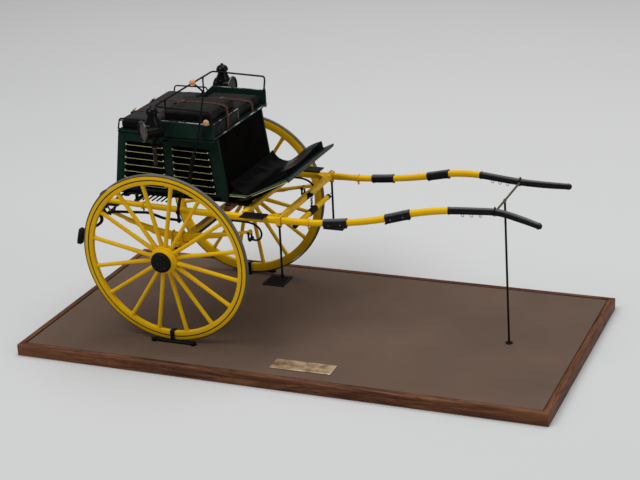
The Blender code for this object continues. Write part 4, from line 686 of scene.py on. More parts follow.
def make_wheel_clip(s, side):
    middle_y = WHEEL_Y - (WHEEL_RADIUS - FELLOE_DEPTH / 2) * math.sin(CAMBER)
    inside = 3.1 + FELLOE_DEPTH / 2 * math.sin(CAMBER)
    top = AXLE_Z - (WHEEL_RADIUS - TYRE_THICK - FELLOE_DEPTH) * math.cos(CAMBER) + 1.1
    y_out, y_in = s * (middle_y + inside + 0.5), s * (middle_y - inside - 0.5)
    shape = Shape()
    path = bent([(0, y_out, 0.9), (0, y_out, top), (0, y_in, top), (0, y_in, 0.9)], 1.6, 5)
    shape.sweep(path, bar(0.5, 2.1, 0.25), (1, 0, 0))
    y0, y1 = s * (middle_y + inside + 0.5), s * (middle_y + inside + 4.2)
    shape.block(-18.5, 23.5, y0, y1, 0.3, 2.4, 0.35)
    for x in (-19, 24):
        shape.turned(((0, 0.3), (2.9, 0.3), (3.1, 0.6), (3.1, 2.6), (2.7, 3.1), (0, 3.3)), 22,
            shift(x, s * (middle_y + inside + 2.6), 0))
    y0, y1 = s * (middle_y - inside - 5), s * (middle_y - inside - 0.5)
    shape.block(-4.2, 4.2, y0, y1, 0.3, 2.4, 0.35)
    for x in (-9, 9):
        shape.stud((x, s * (middle_y + inside + 2.5), 2.35), (0, 0, 1), 1.05, 0.55)
    shape.stud((0, s * (middle_y - inside - 3.2), 2.35), (0, 0, 1), 1.05, 0.55)
    piece("clip_" + side, shape, BLACK, "wheel_clip_" + side)


# ---------------------------------------------------------------- axle and springs
# Forward and up, of the springs' eyes and of the brake beam
EYE_REAR, EYE_FRONT, BEAM_AT = (-73.8, 120.75), (78.2, 113.05), (-77.2, 127.6)


def spring_top(x):
    if x < 0:
        return 105.2 + 16.3 * (-x / 72.6) ** 1.6
    return 105.2 + 8.6 * (x / 77) ** 1.6


def make_axle_bed():
    bottom = local_box("axle_bed")[0].z
    shape = Shape()
    top = 96.6
    shape.plate([(-3.2, bottom), (3.2, bottom), (3.2, top), (-3.2, top)], -75.9, 75.9, 1, 0.5)
    for s in (NEAR, FAR):
        shape.block(-6.9, 6.9, s * 64.2, s * 72, bottom, 97.3, 0.5)
    for s in (NEAR, FAR):
        for x in (-5.6, 5.6):
            crown = spring_top(x) + 1
            y0, y1 = s * (SPRING_Y - 3.75), s * (SPRING_Y + 3.75)
            path = bent([(x, y0, bottom - 0.5), (x, y0, crown), (x, y1, crown), (x, y1, bottom - 0.5)], 1.3,
                4)
            shape.sweep(path, circle(0.75, 10), (1, 0, 0))
            for y in (y0, y1):
                shape.nut((x, y, bottom - 0.1), (0, 0, -1), 1.25, 1)
    piece("axle_bed_beam", shape, YELLOW, "axle_bed")


def make_spring(s, side):
    shape = Shape()
    thick, wide = 1.5, 2.8
    for k in range(5):
        share = 1 - 0.19 * k
        x0, x1 = -72.6 * share, 77 * share
        count = 26
        rings = []
        for i in range(count + 1):
            x = x0 + (x1 - x0) * i / count
            z = spring_top(x) - thick * k
            end = min(x - x0, x1 - x)
            taper = 1 if k == 0 else min(1, 0.55 + 0.45 * end / 5)
            thin = 1 if k == 0 else min(1, 0.5 + 0.5 * end / 4)
            w, h = wide * taper, (thick - 0.06) * thin
            y = s * SPRING_Y
            rings.append([(x, y - w, z - h * 0.85), (x, y - w, z - h * 0.15), (x, y - w + 0.25, z),
                (x, y + w - 0.25, z), (x, y + w, z - h * 0.15), (x, y + w, z - h * 0.85),
                (x, y + w - 0.25, z - h), (x, y - w + 0.25, z - h)])
        shape.skin(rings)
    for x, length in ((-72.6, -1), (77, 1)):
        eye = Vector((x + 1.2 * length, s * SPRING_Y, spring_top(x) - 0.75))
        start = Matrix.Translation(eye) @ Matrix.Rotation(math.radians(-90), 4, "X")
        shape.boss(start, 2.2, 2.8, bore=1.2)
    piece("leaf_spring_" + side, shape, YELLOW, "spring_" + side)


def make_spring_irons(s, side):
    """Hanger behind the spring, and the tread with the looped iron in front of it."""
    legs = (((-80.6, 129), (-79.6, 125.2), (-75.2, 118.4)), ((-65, 129), (-70.4, 124.5), (-72.6, 118.4)))
    half = 4.3
    shape = Shape()
    shape.block(-84.6, -63, s * (SPRING_Y - half), s * (SPRING_Y + half), 128.4, 129.5)
    for y in (SPRING_Y - half + 0.6, SPRING_Y + half - 0.6):
        for leg in legs:
            shape.sweep(bent(at_side(s * y, leg), 1.2, 4), bar(0.75, 0.5, 0.2), (0, 1, 0))
        shape.boss(axis_place((EYE_REAR[0], s * y, EYE_REAR[1])), 1.9, 0.55, 0.2, 0.25)
        shape.boss(axis_place((BEAM_AT[0], s * y, BEAM_AT[1])), 2.4, 0.55, 0.1, 0.25, bore=1.25)
    y = s * SPRING_Y
    tail = [(-82.6, 129), (-83, 134.5), (-82, 139), (-79.6, 141)]
    shape.sweep(smooth_path(at_side(y, tail)), bar(1.3, 2.9, 0.5), (0, 1, 0))
    shape.boss(axis_place((-79.2, y, 140.9)), 1.9, 3, 0.3)
    piece("hanger_iron_" + side, shape, BLACK, "spring_hanger_" + side)

    shape = Shape()
    shape.block(73.5, 98.5, s * 65.6, s * 80.4, 132, 133.1)
    for x in (76.5, 95.5):
        shape.stud((x, s * 77.6, 133), (0, 0, 1), 0.9, 0.4)
    shape.block(74.4, 77.4, s * 66.6, s * 69.8, 122.8, 132.3)
    loop = [(60, 123.6), (77, 123.6), (84, 121.9), (89.6, 117.8), (91.4, 112.4), (89.6, 107.4),
        (85.4, 105.2), (80.2, 105.8)]
    shape.sweep(bent(at_side(y, loop), 3, 6), circle(1), (0, 1, 0))
    shape.boss(axis_place((79.5, y, 106.3)), 1.8, 3.8, 0.3)
    eye_x, eye_z = EYE_FRONT
    for cheek in (y - s * 3.6, y + s * 3.6):
        shape.plate(round_rect(77.5, 79.5, 106.3, eye_z + 1, 0.6), cheek - 0.4, cheek + 0.4, 1, 0.2)
    shape.rod((eye_x, y - 4.2, eye_z), (eye_x, y + 4.2, eye_z), 0.8)
    piece("tread_" + side, shape, BLACK, "tread_iron_" + side)


# ---------------------------------------------------------------- shafts
SHAFT_STATIONS = (
    (-80.3, 68.1, 132.9, 2.9, 2.15), (0, 68.1, 129.8, 3.1, 2.7), (77, 68.1, 128.4, 3.2, 3.3),
    (112, 68.1, 128.5, 3.2, 3.2), (150, 68, 129.2, 3.1, 3.1), (190, 66.4, 133.4, 3, 3.15),
    (220, 63.4, 138.9, 3, 3.2), (245, 59.6, 144.9, 3, 3.3), (272, 54, 147.8, 2.9, 3.2),
    (300, 47.6, 147.6, 2.9, 3.1), (322, 44.2, 146.9, 2.8, 3), (345, 49.8, 144.3, 2.7, 2.9),
    (366, 57.6, 141.7, 2.3, 2.5),
)


def shaft_at(x):
    table = SHAFT_STATIONS
    x = min(max(x, table[0][0]), table[-1][0])
    i = 0
    while i < len(table) - 2 and x > table[i + 1][0]:
        i += 1
    span = table[i + 1][0] - table[i][0]
    t = (x - table[i][0]) / span
    before, after = table[max(i - 1, 0)], table[min(i + 2, len(table) - 1)]
    values = []
    for k in range(1, 5):
        p0, p1 = table[i][k], table[i + 1][k]
        m0 = (p1 - before[k]) / (table[i + 1][0] - before[0]) * span
        m1 = (after[k] - p0) / (after[0] - table[i][0]) * span
        values.append((2 * t ** 3 - 3 * t ** 2 + 1) * p0 + (t ** 3 - 2 * t ** 2 + t) * m0
            + (3 * t ** 2 - 2 * t ** 3) * p1 + (t ** 3 - t ** 2) * m1)
    return values


def shaft_run(shape, s, x0, x1, grow=0, step=4, ends=(), sides=20, power=None):
    """Skins a length of shaft; ends are (distance from each end, extra size) steps of its outline."""
    count = max(2, round((x1 - x0) / step))
    xs = [x0 + (x1 - x0) * i / count for i in range(count + 1)]
    for distance, extra in ends:
        xs += [x0 + distance, x1 - distance]
    xs = sorted(set(xs))
    path = [(x, s * shaft_at(x)[0], shaft_at(x)[1]) for x in xs]
    rings = []
    for x, (point, side, top) in zip(xs, frames_along(path, Z_UP)):
        w, h = shaft_at(x)[2:]
        end = min(x - x0, x1 - x)
        extra = grow
        for distance, more in ends:
            if end <= distance + 1e-6:
                extra = grow + more
                break
        p = power or (3.6 if x < 120 else 2.4)
        rings.append([point + side * a + top * b for a, b in oval(w + extra, h + extra, sides, p)])
    shape.skin(rings)


def make_shaft(s, side):
    shape = Shape()
    shaft_run(shape, s, -80.3, 299.7, ends=((0, -0.5), (0.4, -0.1), (1, 0)))
    for x in (-36, 141):
        out, z, w, h = shaft_at(x)
        shaft_run(shape, s, x - 1.1, x + 1.1, 0.9, 1, ends=((0, -0.3), (0.25, 0)))
        shape.rod((x, s * out, z - h), (x, s * out, z - h - 2.2), 0.75)
        ring = axis_place((x, s * out, z - h - 2.4), (1, 0, 0))
        shape.turned(((0.7, -0.5), (1.3, -0.5), (1.55, 0), (1.3, 0.5), (0.7, 0.5)), 14, ring, loop=True)
    piece("shaft_wood_" + side, shape, YELLOW, "shaft_" + side)

    for name, x0, x1 in (("sleeve_rear_", 156.5, 180.5), ("sleeve_mid_", 217.5, 241.5)):
        shape = Shape()
        shaft_run(shape, s, x0, x1, 1.05, 3, ends=((0, -0.6), (0.35, 0), (0.8, 0.05), (1.6, -0.05)))
        # Seam flap below, with a row of stitches and corner tips
        path = [x0 + (x1 - x0) * i / 8 for i in range(9)]
        rings = []
        for x in path:
            out, z, w, h = shaft_at(x)
            tip = 0.7 * (abs((x - x0) / (x1 - x0) - 0.5) * 2) ** 6
            y = s * (out + w * 0.45)
            rings.append([(x, y - 0.35, z - h - 0.2), (x, y + 0.35, z - h - 0.2),
                (x, y + 0.3, z - h - 1.7 - tip), (x, y - 0.3, z - h - 1.7 - tip)])
        shape.skin(rings)
        for i in range(12):
            x = x0 + 1.4 + (x1 - x0 - 2.8) * i / 11
            out, z, w, h = shaft_at(x)
            y = s * (out + w + 0.95)
            shape.stud((x, y, z - h * 0.62), (0, s, -0.3), 0.28, 0.2, 6)
        shape.tint = 1
        for x in (x0 + 6, x1 - 6):
            out, z, w, h = shaft_at(x)
            shape.stud((x, s * (out + w + 1), z - h * 0.42), (0, s, -0.15), 0.62, 0.4)
        piece(name + side + "_hide", shape, [SLEEVE_HIDE, STEEL], name + side)

    shape = Shape()
    shaft_run(shape, s, 275, 366, 0.28, 3, ends=((0, -1.5), (0.35, -0.9), (1, -0.3), (1.9, 0)), power=2.4)
    for x in (276.6, 363.2):
        shaft_run(shape, s, x - 0.9, x + 0.9, 0.55, 1, ends=((0, -0.25), (0.3, 0)), power=2.4)
    shape.tint = 1
    for x in (289, 297, 305):
        out, z, w, h = shaft_at(x)
        loop = at_side(s * out, [(x + a, z - h - 1.5 + b) for a, b in circle(1.3, 16)])
        shape.sweep(loop, circle(0.3, 8), (0, 1, 0), loop=True)
    for i in range(7):
        x = 281 + 12.5 * i
        out, z, w, h = shaft_at(x)
        shape.stud((x, s * (out + w * 0.5), z - h * 0.93), (0, s * 0.4, -1), 0.5, 0.3)
    piece("sleeve_tip_" + side + "_hide", shape, [SLEEVE_HIDE, STEEL], "sleeve_tip_" + side)


def make_splinter_bar():
    shape = Shape()
    reach = SPRING_Y - 4.15
    z = 128.5
    shape.plate([(108.7, z - 1.4), (113.3, z - 1.4), (113.3, z + 4), (108.7, z + 4)], -reach, reach, 1, 0.3)
    for s in (NEAR, FAR):
        in_w, in_h, wall = 3.5, 3.5, 1.3
        loop = bent([(SPLINTER_X, s * (SPRING_Y + a * (in_w + wall / 2)), z + b * (in_h + wall / 2))
            for a, b in ((-1, 0), (-1, 1), (1, 1), (1, -1), (-1, -1), (-1, 0))], 1.2, 3)[:-1]
        shape.sweep(loop, bar(wall / 2, 2.3, 0.3), (1, 0, 0), loop=True)
        knee = [(95, s * reach), (109, s * reach), (109, s * (reach - 11))]
        knee += [(108 - 1 * i - 0.35 * i * i, s * (reach - 11 + 1.9 * i + 0.1 * i * i)) for i in range(4)]
        shape.plate(knee, z - 1.8, z + 3, 2, 0.3)
        shape.tint = 1
        for y in (SPRING_Y - 2.2, SPRING_Y + 2.2):
            shape.nut((SPLINTER_X, s * y, z + 4.7), (0, 0, 1), 0.9, 0.6)
        shape.tint = 0
    # Black plate and hook eye for the swingletree
    shape.tint = 1
    shape.block(113.1, 114.2, -3.6, 3.6, 127.6, 134)
    for y in (-1.75, 1.75):
        shape.plate([(113.9, 130), (117.2, 130), (118.1, 130.7), (118.1, 132.1), (117.2, 132.8),
            (113.9, 132.8)], y - 0.45, y + 0.45, 1, 0.12)
    shape.rod((SWING_X, -2.4, 131.4), (SWING_X, 2.4, 131.4), 0.7)
    piece("splinter_bar_wood", shape, [YELLOW, BLACK], "splinter_bar")


def link_ring(shape, z, turn):
    """One oval link of the swingletree's chain."""
    loop = [(1.05 * x, 0, 1.45 * up) for x, up in circle(1, 16)]
    shape.sweep(loop, circle(0.36, 6), (0, 1, 0), loop=True,
        place=shift(SWING_X, 0, z) @ Matrix.Rotation(turn, 4, "Z"))


def make_swingletree():
    shape = Shape()
    shape.turned(((1.05, -0.75), (1.8, -0.75), (2, 0), (1.8, 0.75), (1.05, 0.75)), 18,
        axis_place((SWING_X, 0, 131.4)), loop=True)
    z = 128.6
    turn = 0
    while z > 122.5:
        link_ring(shape, z, turn)
        z -= 1.95
        turn += math.pi / 2
    shape.turned(((0, 123), (0.9, 122.7), (1.2, 122), (0.7, 121.3), (0.7, 120.6), (1.6, 120.2),
        (1.7, 119.2), (1.2, 118.8), (0.8, 118.4), (0.8, 115.3), (0, 115.2)), 14, shift(SWING_X, 0, 0))
    piece("swing_chain", shape, BLACK, "swingletree_link", "swingletree_link")

    shape = Shape(axis_place((SWING_X, 0, 114.7)))
    r, half = 2.8, 45.7
    end = [(0, half, 1), (r * 0.8, half, 1), (r * 0.97, half - 0.7, 1), (r * 0.97, half - 4.2, 1),
        (r * 0.85, half - 4.7, 0), (r * 0.78, half - 5.4, 0), (r * 0.9, half * 0.72, 0),
        (r, half * 0.45, 0), (r, 8.9, 0)]
    other = [(radius, y, 1 if radius == r * 0.85 else tint) for radius, y, tint in end[::-1]]
    shape.turned([(radius, -y, tint) for radius, y, tint in end] + other, 24)
    wrap = [(r - 0.2, -8.7, 2), (r * 1.1, -8.6, 2)]
    for i in range(7):
        y = -7.5 + 2.5 * i
        wrap += [(r * 1.22, y - 0.95, 2), (r * 1.22, y + 0.95, 2), (r * 1.14, y + 1.25, 2)]
    wrap += [(r * 1.1, 8.6, 2), (r - 0.2, 8.7, 2)]
    shape.turned(wrap, 24)
    shape.tint = 1
    for s in (NEAR, FAR):
        y = s * (half - 2.4)
        hook = bent([(0, 0, y), (-2.4, 0, y), (-4.6, 1.2, y), (-5.6, 3, y), (-4.6, 4.6, y), (-3, 4, y)],
            1.3, 4)
        shape.sweep(hook, circle(0.55, 8), (0, 0, 1))
    piece("swing_bar", shape, [YELLOW, BLACK, HIDE], "swingletree_bar", "swingletree_bar")


# ---------------------------------------------------------------- body
RAKE = 8.8
LOUVRES, LOUVRE_TOP, LOUVRE_PITCH, LOUVRE_SLOPE = 7, 186.9, 6.88, 0.033


def front_edge(z):
    return 43.4 + RAKE * (BODY_TOP - z) / (BODY_TOP - BODY_BOTTOM)


def rear_edge(z):
    return -63.7 - RAKE * (BODY_TOP - z) / (BODY_TOP - BODY_BOTTOM)


def louvre(shape, s, x0, x1, z):
    face, out = BODY_HALF - 0.3, BODY_HALF + 1.7
    rows = []
    for x in (x0, x1):
        low = z - LOUVRE_SLOPE * (x + 7)
        points = [(face, low + 0.35), (out - 0.5, low + 0.25), (out - 0.1, low + 0.1), (out, low + 0.15),
            (out, low + 0.5), (out - 0.1, low + 0.55), (face + 0.9, low + 2.9), (face, low + 4.3)]
        rows.append(shape.ring([(x, s * y, h) for y, h in points]))
    shape.join_rows(rows, caps=False, tints=[2, 2, 1, 1, 1, 2, 2, 2])
    shape.tint = 2
    shape.face(rows[0])
    shape.face(rows[1][::-1])
    shape.tint = 1
    # Turned-up corner of the cream edge at each end
    for x, toward in ((x0, 1), (x1, -1)):
        low = z - LOUVRE_SLOPE * (x + 7)
        shape.skin([[(x, s * y, low + 0.3), (x + 2.2 * toward, s * y, low + 0.4),
            (x + 0.5 * toward, s * y, low + 2.2)] for y in (out - 0.5, out + 0.05)])
    # The slot below the hood, a black strip: painted shade under it
    shape.tint = 2
    back, front = s * (BODY_HALF - 0.4), s * (BODY_HALF + 0.06)
    rows = []
    for x, inward in ((x0, 0.4), (x1, -0.4)):
        low = z - LOUVRE_SLOPE * (x + 7)
        rows.append([(x + inward, y, low + up) for y, up in ((back, 0.3), (front, 0.3), (front, -2.2),
            (back, -2.2))])
    shape.skin(rows)
    shape.tint = 0


def make_body_side(s, side):
    shape = Shape()
    outline = [(-65, BODY_TOP), (-73.8, BODY_BOTTOM), (52.2, BODY_BOTTOM), (43.4, BODY_TOP)]
    shape.plate(outline, s * (BODY_HALF - 3), s * BODY_HALF, 1, 0.35)
    # Black field behind the louvres, seen between one hood and the next: painted shade on the panel under
    # the hoods
    top, bottom = LOUVRE_TOP + 3.6, LOUVRE_TOP - LOUVRE_PITCH * (LOUVRES - 1) - 2.2
    shape.tint = 2
    for field in ([(rear_edge(bottom) + 9.2, bottom + 0.4), (rear_edge(top) + 9.2, top + 1.3), (-16.1, top),
            (-16.1, bottom)], [(-5.5, bottom), (-5.5, top), (front_edge(top) - 12.1, top - 1.7),
            (front_edge(bottom) - 12.9, bottom - 1.7)]):
        shape.plate(field, s * (BODY_HALF - 0.4), s * (BODY_HALF + 0.03), 1, 0.1)
    shape.tint = 0
    for k in range(LOUVRES):
        z = LOUVRE_TOP - LOUVRE_PITCH * k
        louvre(shape, s, rear_edge(z) + 8.7, -15.6, z)
        louvre(shape, s, -6, front_edge(z) - 11.6 - 0.13 * k, z)
    # Corner posts and top rail, a little proud of the panel
    for edge, toward in ((front_edge, -1), (rear_edge, 1)):
        width, start = (8.5, 0.4) if toward < 0 else (6.2, -0.9)
        post = [(edge(BODY_BOTTOM) + start * toward, BODY_BOTTOM + 0.3),
            (edge(BODY_TOP) + start * toward, BODY_TOP - 0.3),
            (edge(BODY_TOP) + width * toward, BODY_TOP - 0.3),
            (edge(BODY_BOTTOM) + width * toward, BODY_BOTTOM + 0.3)]
        shape.plate(post, s * (BODY_HALF - 0.3), s * (BODY_HALF + 0.45), 1, 0.3)
    shape.plate([(-60, BODY_TOP - 0.4), (39, BODY_TOP - 0.4), (39.4, BODY_TOP - 4.2),
        (-60.4, BODY_TOP - 4.2)], s * (BODY_HALF - 0.3), s * (BODY_HALF + 0.4), 1, 0.3)
    piece("side_panel_" + side, shape, [GREEN, CREAM, MATT_BLACK_AND_SHADE], "body_side_" + side,
        sharp=30)


def make_ends():
    inner = BODY_INNER
    shape = Shape()
    low, high, recess, thick = 145.2, 201, 0.5, 2.6
    shape.plate([(front_edge(low) - recess, low), (front_edge(high) - recess, high),
        (front_edge(high) - recess - thick, high), (front_edge(low) - recess - thick, low)], -inner, inner,
        1, 0.4)
    # Bound edge down each side, and a row of stitches
    for s in (NEAR, FAR):
        path = [(front_edge(z) - 0.5, s * (inner - 0.9), z) for z in (146, 165, 185, 200.5)]
        shape.sweep(path, bar(0.9, 0.35, 0.2), (1, 0, 0))
        for i in range(36):
            z = 147 + 52.5 * i / 35
            shape.stud((front_edge(z) - 0.12, s * (inner - 0.9), z), (1, 0, 0.14), 0.2, 0.16, 6)
    piece("knee_cover", shape, KNEE_HIDE, "knee_panel")

    shape = Shape()
    low, high = BODY_BOTTOM + 2.6, BODY_TOP - 1.4
    shape.plate([(rear_edge(low), low), (rear_edge(high), high), (rear_edge(high) + thick, high),
        (rear_edge(low) + thick, low)], -inner, inner, 1, 0.35)
    # Raised frame round the outside, lined in cream
    out = Vector((-(BODY_TOP - BODY_BOTTOM), 0, RAKE)).normalized()
    def face_at(y, z, proud):
        return (rear_edge(z) + out.x * proud, y, z + out.z * proud)
    for y0, y1, z0, z1 in ((-inner, inner, low, low + 5), (-inner, inner, high - 4.5, high),
            (-inner, -inner + 5, low, high), (inner - 5, inner, low, high)):
        rings = []
        for proud, cut in ((-0.2, 0), (0.35, 0), (0.45, 0.2)):
            rings.append([face_at(y, z, proud) for y, z in ((y0 + cut, z0 + cut), (y1 - cut, z0 + cut),
                (y1 - cut, z1 - cut), (y0 + cut, z1 - cut))])
        shape.skin(rings)
    shape.tint = 1
    a, b, c, d = -inner + 6, inner - 6, low + 6, high - 5.5
    for p, q in (((a, c), (b, c)), ((b, c), (b, d)), ((b, d), (a, d)), ((a, d), (a, c))):
        shape.sweep([face_at(*p, 0.02), face_at(*q, 0.02)], bar(0.3, 0.06, 0.03, 1), out)
    shape.tint = 2
    hinge = Vector((rear_edge(low) - 0.4, 0, low + 0.6))
    for y in (-34, 34):
        shape.rod((hinge.x, y - 5, hinge.z), (hinge.x, y + 5, hinge.z), 1.1, 16)
        shape.skin([[face_at(u, z, p) for u, z in ((y - 2.2, low + 0.6), (y + 2.2, low + 0.6),
            (y + 1.2, low + 15), (y - 1.2, low + 15))] for p in (0.2, 0.85)])
        for z in (low + 4, low + 8, low + 12):
            shape.stud(face_at(y, z, 0.8), out, 0.55, 0.3)
    piece("tail_door", shape, [GREEN, CREAM, BLACK], "tailboard", "tailboard")


def make_body_frame():
    """Cross bars, runners and brackets below the body, and the rack of thin rods."""
    shape = Shape()
    top = BODY_BOTTOM - 0.3
    for tint, x0, x1, z0, z1, half in ((0, -68, -62, 131.6, 137, 50), (0, -48.4, -45.8, 130.8, 134.6, 64.4),
            (1, 50, 57, 131, 136.2, 64.4), (2, 69.6, 75, 128.8, 133.4, 64.4)):
        shape.tint = tint
        shape.plate(round_rect(x0, x1, z0, z1, 0.8, 3), -half, half, 1, 0.4)
    for s in (NEAR, FAR):
        shape.tint = 0
        shape.block(-66, 52, s * 36, s * 42, 131.6, top, 0.4)
        shape.block(50, 73, s * 36, s * 42, 129.4, 133, 0.4)
        shape.block(-48.4, -46.2, s * 58, s * 61.5, 131, 139.6)
        shape.block(-57, -43.5, s * 58, s * 61.5, 138.6, 140)
        shape.block(51.5, 56.5, s * 59, s * 64, 131.5, 138.8, 0.4)
        for x in (-54.5, -51):
            shape.stud((x, s * 59.7, 139.95), (0, 0, 1), 0.8, 0.5)
        shape.nut((-47.3, s * 61.4, 133.6), (0, s, 0), 1, 0.8)
        shape.nut((54, s * 63.9, 135.2), (0, s, 0), 1, 0.8)
    shape.tint = 0
    for i in range(6):
        x = -42 + 5.2 * i
        shape.rod((x, -57.9, 132.6), (x, 57.9, 132.6), 0.8, 8)
    piece("under_frame", shape, [BLACK, BLOCK_WOOD, YELLOW], "body_frame")


TOE_BEND = 68.7
SILL_TOP = 145.3


def toe_side(x):
    """Half width of the flared toe board."""
    return BODY_HALF + 3.8 * max(0, (x - TOE_BEND) / 48.8)


def toe_top(x):
    """Height of the toe board's upper face."""
    return max(SILL_TOP, 143.5 + 0.4816 * (x - TOE_BEND))


def make_toe_board():
    shape = Shape()
    inner = BODY_INNER
    shape.block(-69, 53.4, -inner, inner, BODY_BOTTOM, BODY_BOTTOM + 2, 0.2)
    shape.tint = 3
    for i in range(1, 9):
        y = -inner + 2 * inner * i / 9
        shape.block(-68, 50, y - 0.12, y + 0.12, BODY_BOTTOM + 1.8, BODY_BOTTOM + 2.04, 0.02)
    shape.tint = 0
    outline = [(52.8, 137.4), (52.8, SILL_TOP), (60, SILL_TOP), (72.4, SILL_TOP), (117.4, 166.9),
        (118.6, 164.9), (95, 151.2), (72, 137.5)]
    start = len(shape.bm.verts)
    shape.plate(outline, -BODY_HALF, BODY_HALF, 1, 0.35)
    shape.bm.verts.ensure_lookup_table()
    for vert in shape.bm.verts[start:]:
        vert.co.y += math.copysign(toe_side(vert.co.x) - BODY_HALF, vert.co.y)
    # Cream double line along the upper edge of both outer faces
    for s in (NEAR, FAR):
        shape.tint = 1
        for drop, width in ((0.15, 0.1), (1.7, 0.38)):
            path = [(x + drop * (0 if x < 70 else 0.43), s * (toe_side(x) + 0.42), toe_top(x) - drop)
                for x in (52.9, 60, 66, 72.2, 85, 101, 116.4)]
            shape.sweep(path, bar(0.06, width, 0.03, 1))
        shape.tint = 3
        rings = []
        for x in (52.9, 60, 66, 72, 78, 84, 90, 95, 102, 108, 114):
            low = 137.6 if x < 72 else 137.6 + 0.5957 * (x - 72)
            high = max(low + 0.2, toe_top(x) - 2.5)
            out, back = s * (toe_side(x) + 0.36), s * (toe_side(x) - 0.5)
            rings.append([(x, out, high), (x, out, low), (x, back, low), (x, back, high)])
        shape.skin(rings)
        shape.block(-68.2, 53.2, s * (BODY_HALF - 0.4), s * (BODY_HALF + 0.32), 137.4, 141, 0.1)
    # Front edge bound in leather
    shape.tint = 2
    path = [(118, y, 165.5) for y in (-57.9, -29, 0, 29, 57.9)]
    shape.sweep(path, oval(1.3, 2, 16, 2.4), (0.44, 0, 0.9))
    piece("toe_board_wood", shape, [GREEN, CREAM, EDGE_HIDE, MATT_BLACK_AND_SHADE], "toe_board")


def make_apron():
    """One sheet of leather, folded down from the knee panel, over the floor and up the toe board."""
    profile = [(53.2, 155.6), (57, 151.4), (62.5, 148), (70.8, 146.9), (80, 152.2), (94, 161.5),
        (108.3, 169.9)]
    line = smooth_path([(x, 0, z) for x, z in profile], 8)
    half, count = 52.6, 72
    shape = Shape()
    rows = []
    for i, point in enumerate(line):
        along = i / (len(line) - 1)
        row = []
        for k in range(count + 1):
            v = -1 + 2 * k / count
            y = v * half
            fold = 0
            for centre, lean, height, width in ((-0.7, 0.9, 1.5, 0.1), (-0.25, 0.35, 0.8, 0.16),
                    (0.18, 0.6, 1.6, 0.1), (0.62, -0.5, 1.7, 0.12)):
                away = (v - centre - lean * (along - 0.2)) / width
                fold += height * math.exp(-away * away)
            rear = max(0, 1 - along / 0.62)
            fold *= math.sin(math.pi * min(1, rear * 1.05)) if rear > 0 else 0
            ripple = 0.3 * noise.noise(Vector((along * 5, v * 3, 1.7)))
            z = point.z + 0.5 + fold + ripple
            ahead = min(1, max(0, (point.x - 66) / 42))
            # The near side narrows toward the front, and its border is turned down on the board
            tuck = 10.5 * ahead if y < 0 else 0
            border = min(1, max(0, (v + 1) / 0.07))
            y += tuck * -v
            if point.x > 66 and border < 1:
                low = toe_top(point.x) + 0.6
                z = low + (z - low) * border
                y -= (1 - border) * 1.5
            crest = min(1, max(0, (point.x - 80) / 28))
            sag = max(0, 1 - ((v + 0.15) / 0.85) ** 2)
            z += (0.6 - 3.4 * sag) * crest * border
            z += 2.2 * crest * (1 - crest) * 4 * max(0, (v - 0.6) / 0.4)
            z += 1.6 * max(0, (v - 0.86) / 0.14) * max(0, 1 - along / 0.25)
            row.append((point.x - fold * 0.3, y, max(z, toe_top(point.x) + 0.6)))
        rows.append(row)
    # The front hem is turned down on the board
    for share, ahead in ((0.12, 0.6), (0.5, 1.1), (0.85, 1.5), (1, 2.4)):
        rows.append([(x + ahead, y, z + (toe_top(x + ahead) + 0.6 - z) * share)
            for x, y, z in rows[len(line) - 1]])
    top = [shape.ring(row) for row in rows]
    under = [shape.ring([(x, y, z - 0.55) for x, y, z in row]) for row in rows]
    for i in range(len(rows) - 1):
        for k in range(count):
            shape.face((top[i][k], top[i][k + 1], top[i + 1][k + 1], top[i + 1][k]))
            shape.face((under[i][k], under[i + 1][k], under[i + 1][k + 1], under[i][k + 1]))
    for i in range(len(rows) - 1):
        for k in (0, count):
            shape.face((top[i][k], top[i + 1][k], under[i + 1][k], under[i][k]))
    for k in range(count):
        for i in (0, len(rows) - 1):
            shape.face((top[i][k], top[i][k + 1], under[i][k + 1], under[i][k]))
    hide = piece("apron_hide", shape, APRON_HIDE, "apron", sharp=70)


def make_seat_deck():
    shape = Shape()
    outline = [(-64.4, -56), (-27.5, -56), (-27.5, -64.3), (44.5, -64.3), (44.5, 64.3), (-27.5, 64.3),
        (-27.5, 56), (-64.4, 56)]
    shape.plate(outline, 201.6, 203.2, 2, 0.3)
    wing = [(-27.5, 200), (44.5, 200), (44.5, 216.6), (44, 217.5), (43, 217.6), (-13, 218.6),
        (-16.5, 218.2), (-27.5, 208.6), (-27.7, 207.4)]
    for s in (NEAR, FAR):
        shape.plate(wing, s * 62, s * 64.3, 1, 0.4)
        shape.tint = 1
        shape.sweep(smooth_path([(-15.6, s * 63.2, 218.55), (14, s * 63.2, 218.05),
            (43.2, s * 63.2, 217.6)], 8), circle(0.55, 10))
        shape.tint = 0
    # Pale piping along the front edge
    shape.tint = 1
    path = [(44.7, y, 203.2) for y in (-63.6, -32, 0, 32, 63.6)]
    shape.sweep(path, circle(0.62))
    for s in (NEAR, FAR):
        shape.stud((44.6, s * 61.6, 203.2), (1, 0, 0.4), 1.15, 0.9)
    shape.tint = 2
    shape.block(-64.2, 44.2, -55.6, 55.6, 200.9, 201.7, 0.2)
    piece("seat_board", shape, [GREEN, PIPING, MATT_BLACK_AND_SHADE], "seat_deck")


# ---------------------------------------------------------------- cushions
# The cushions are inflated at this many times their size
BLOW_UP = 8
VOXEL = 0.0075
PRESSURE, LONGEST_MOVE = 4, 0.012
FRAMES = 20


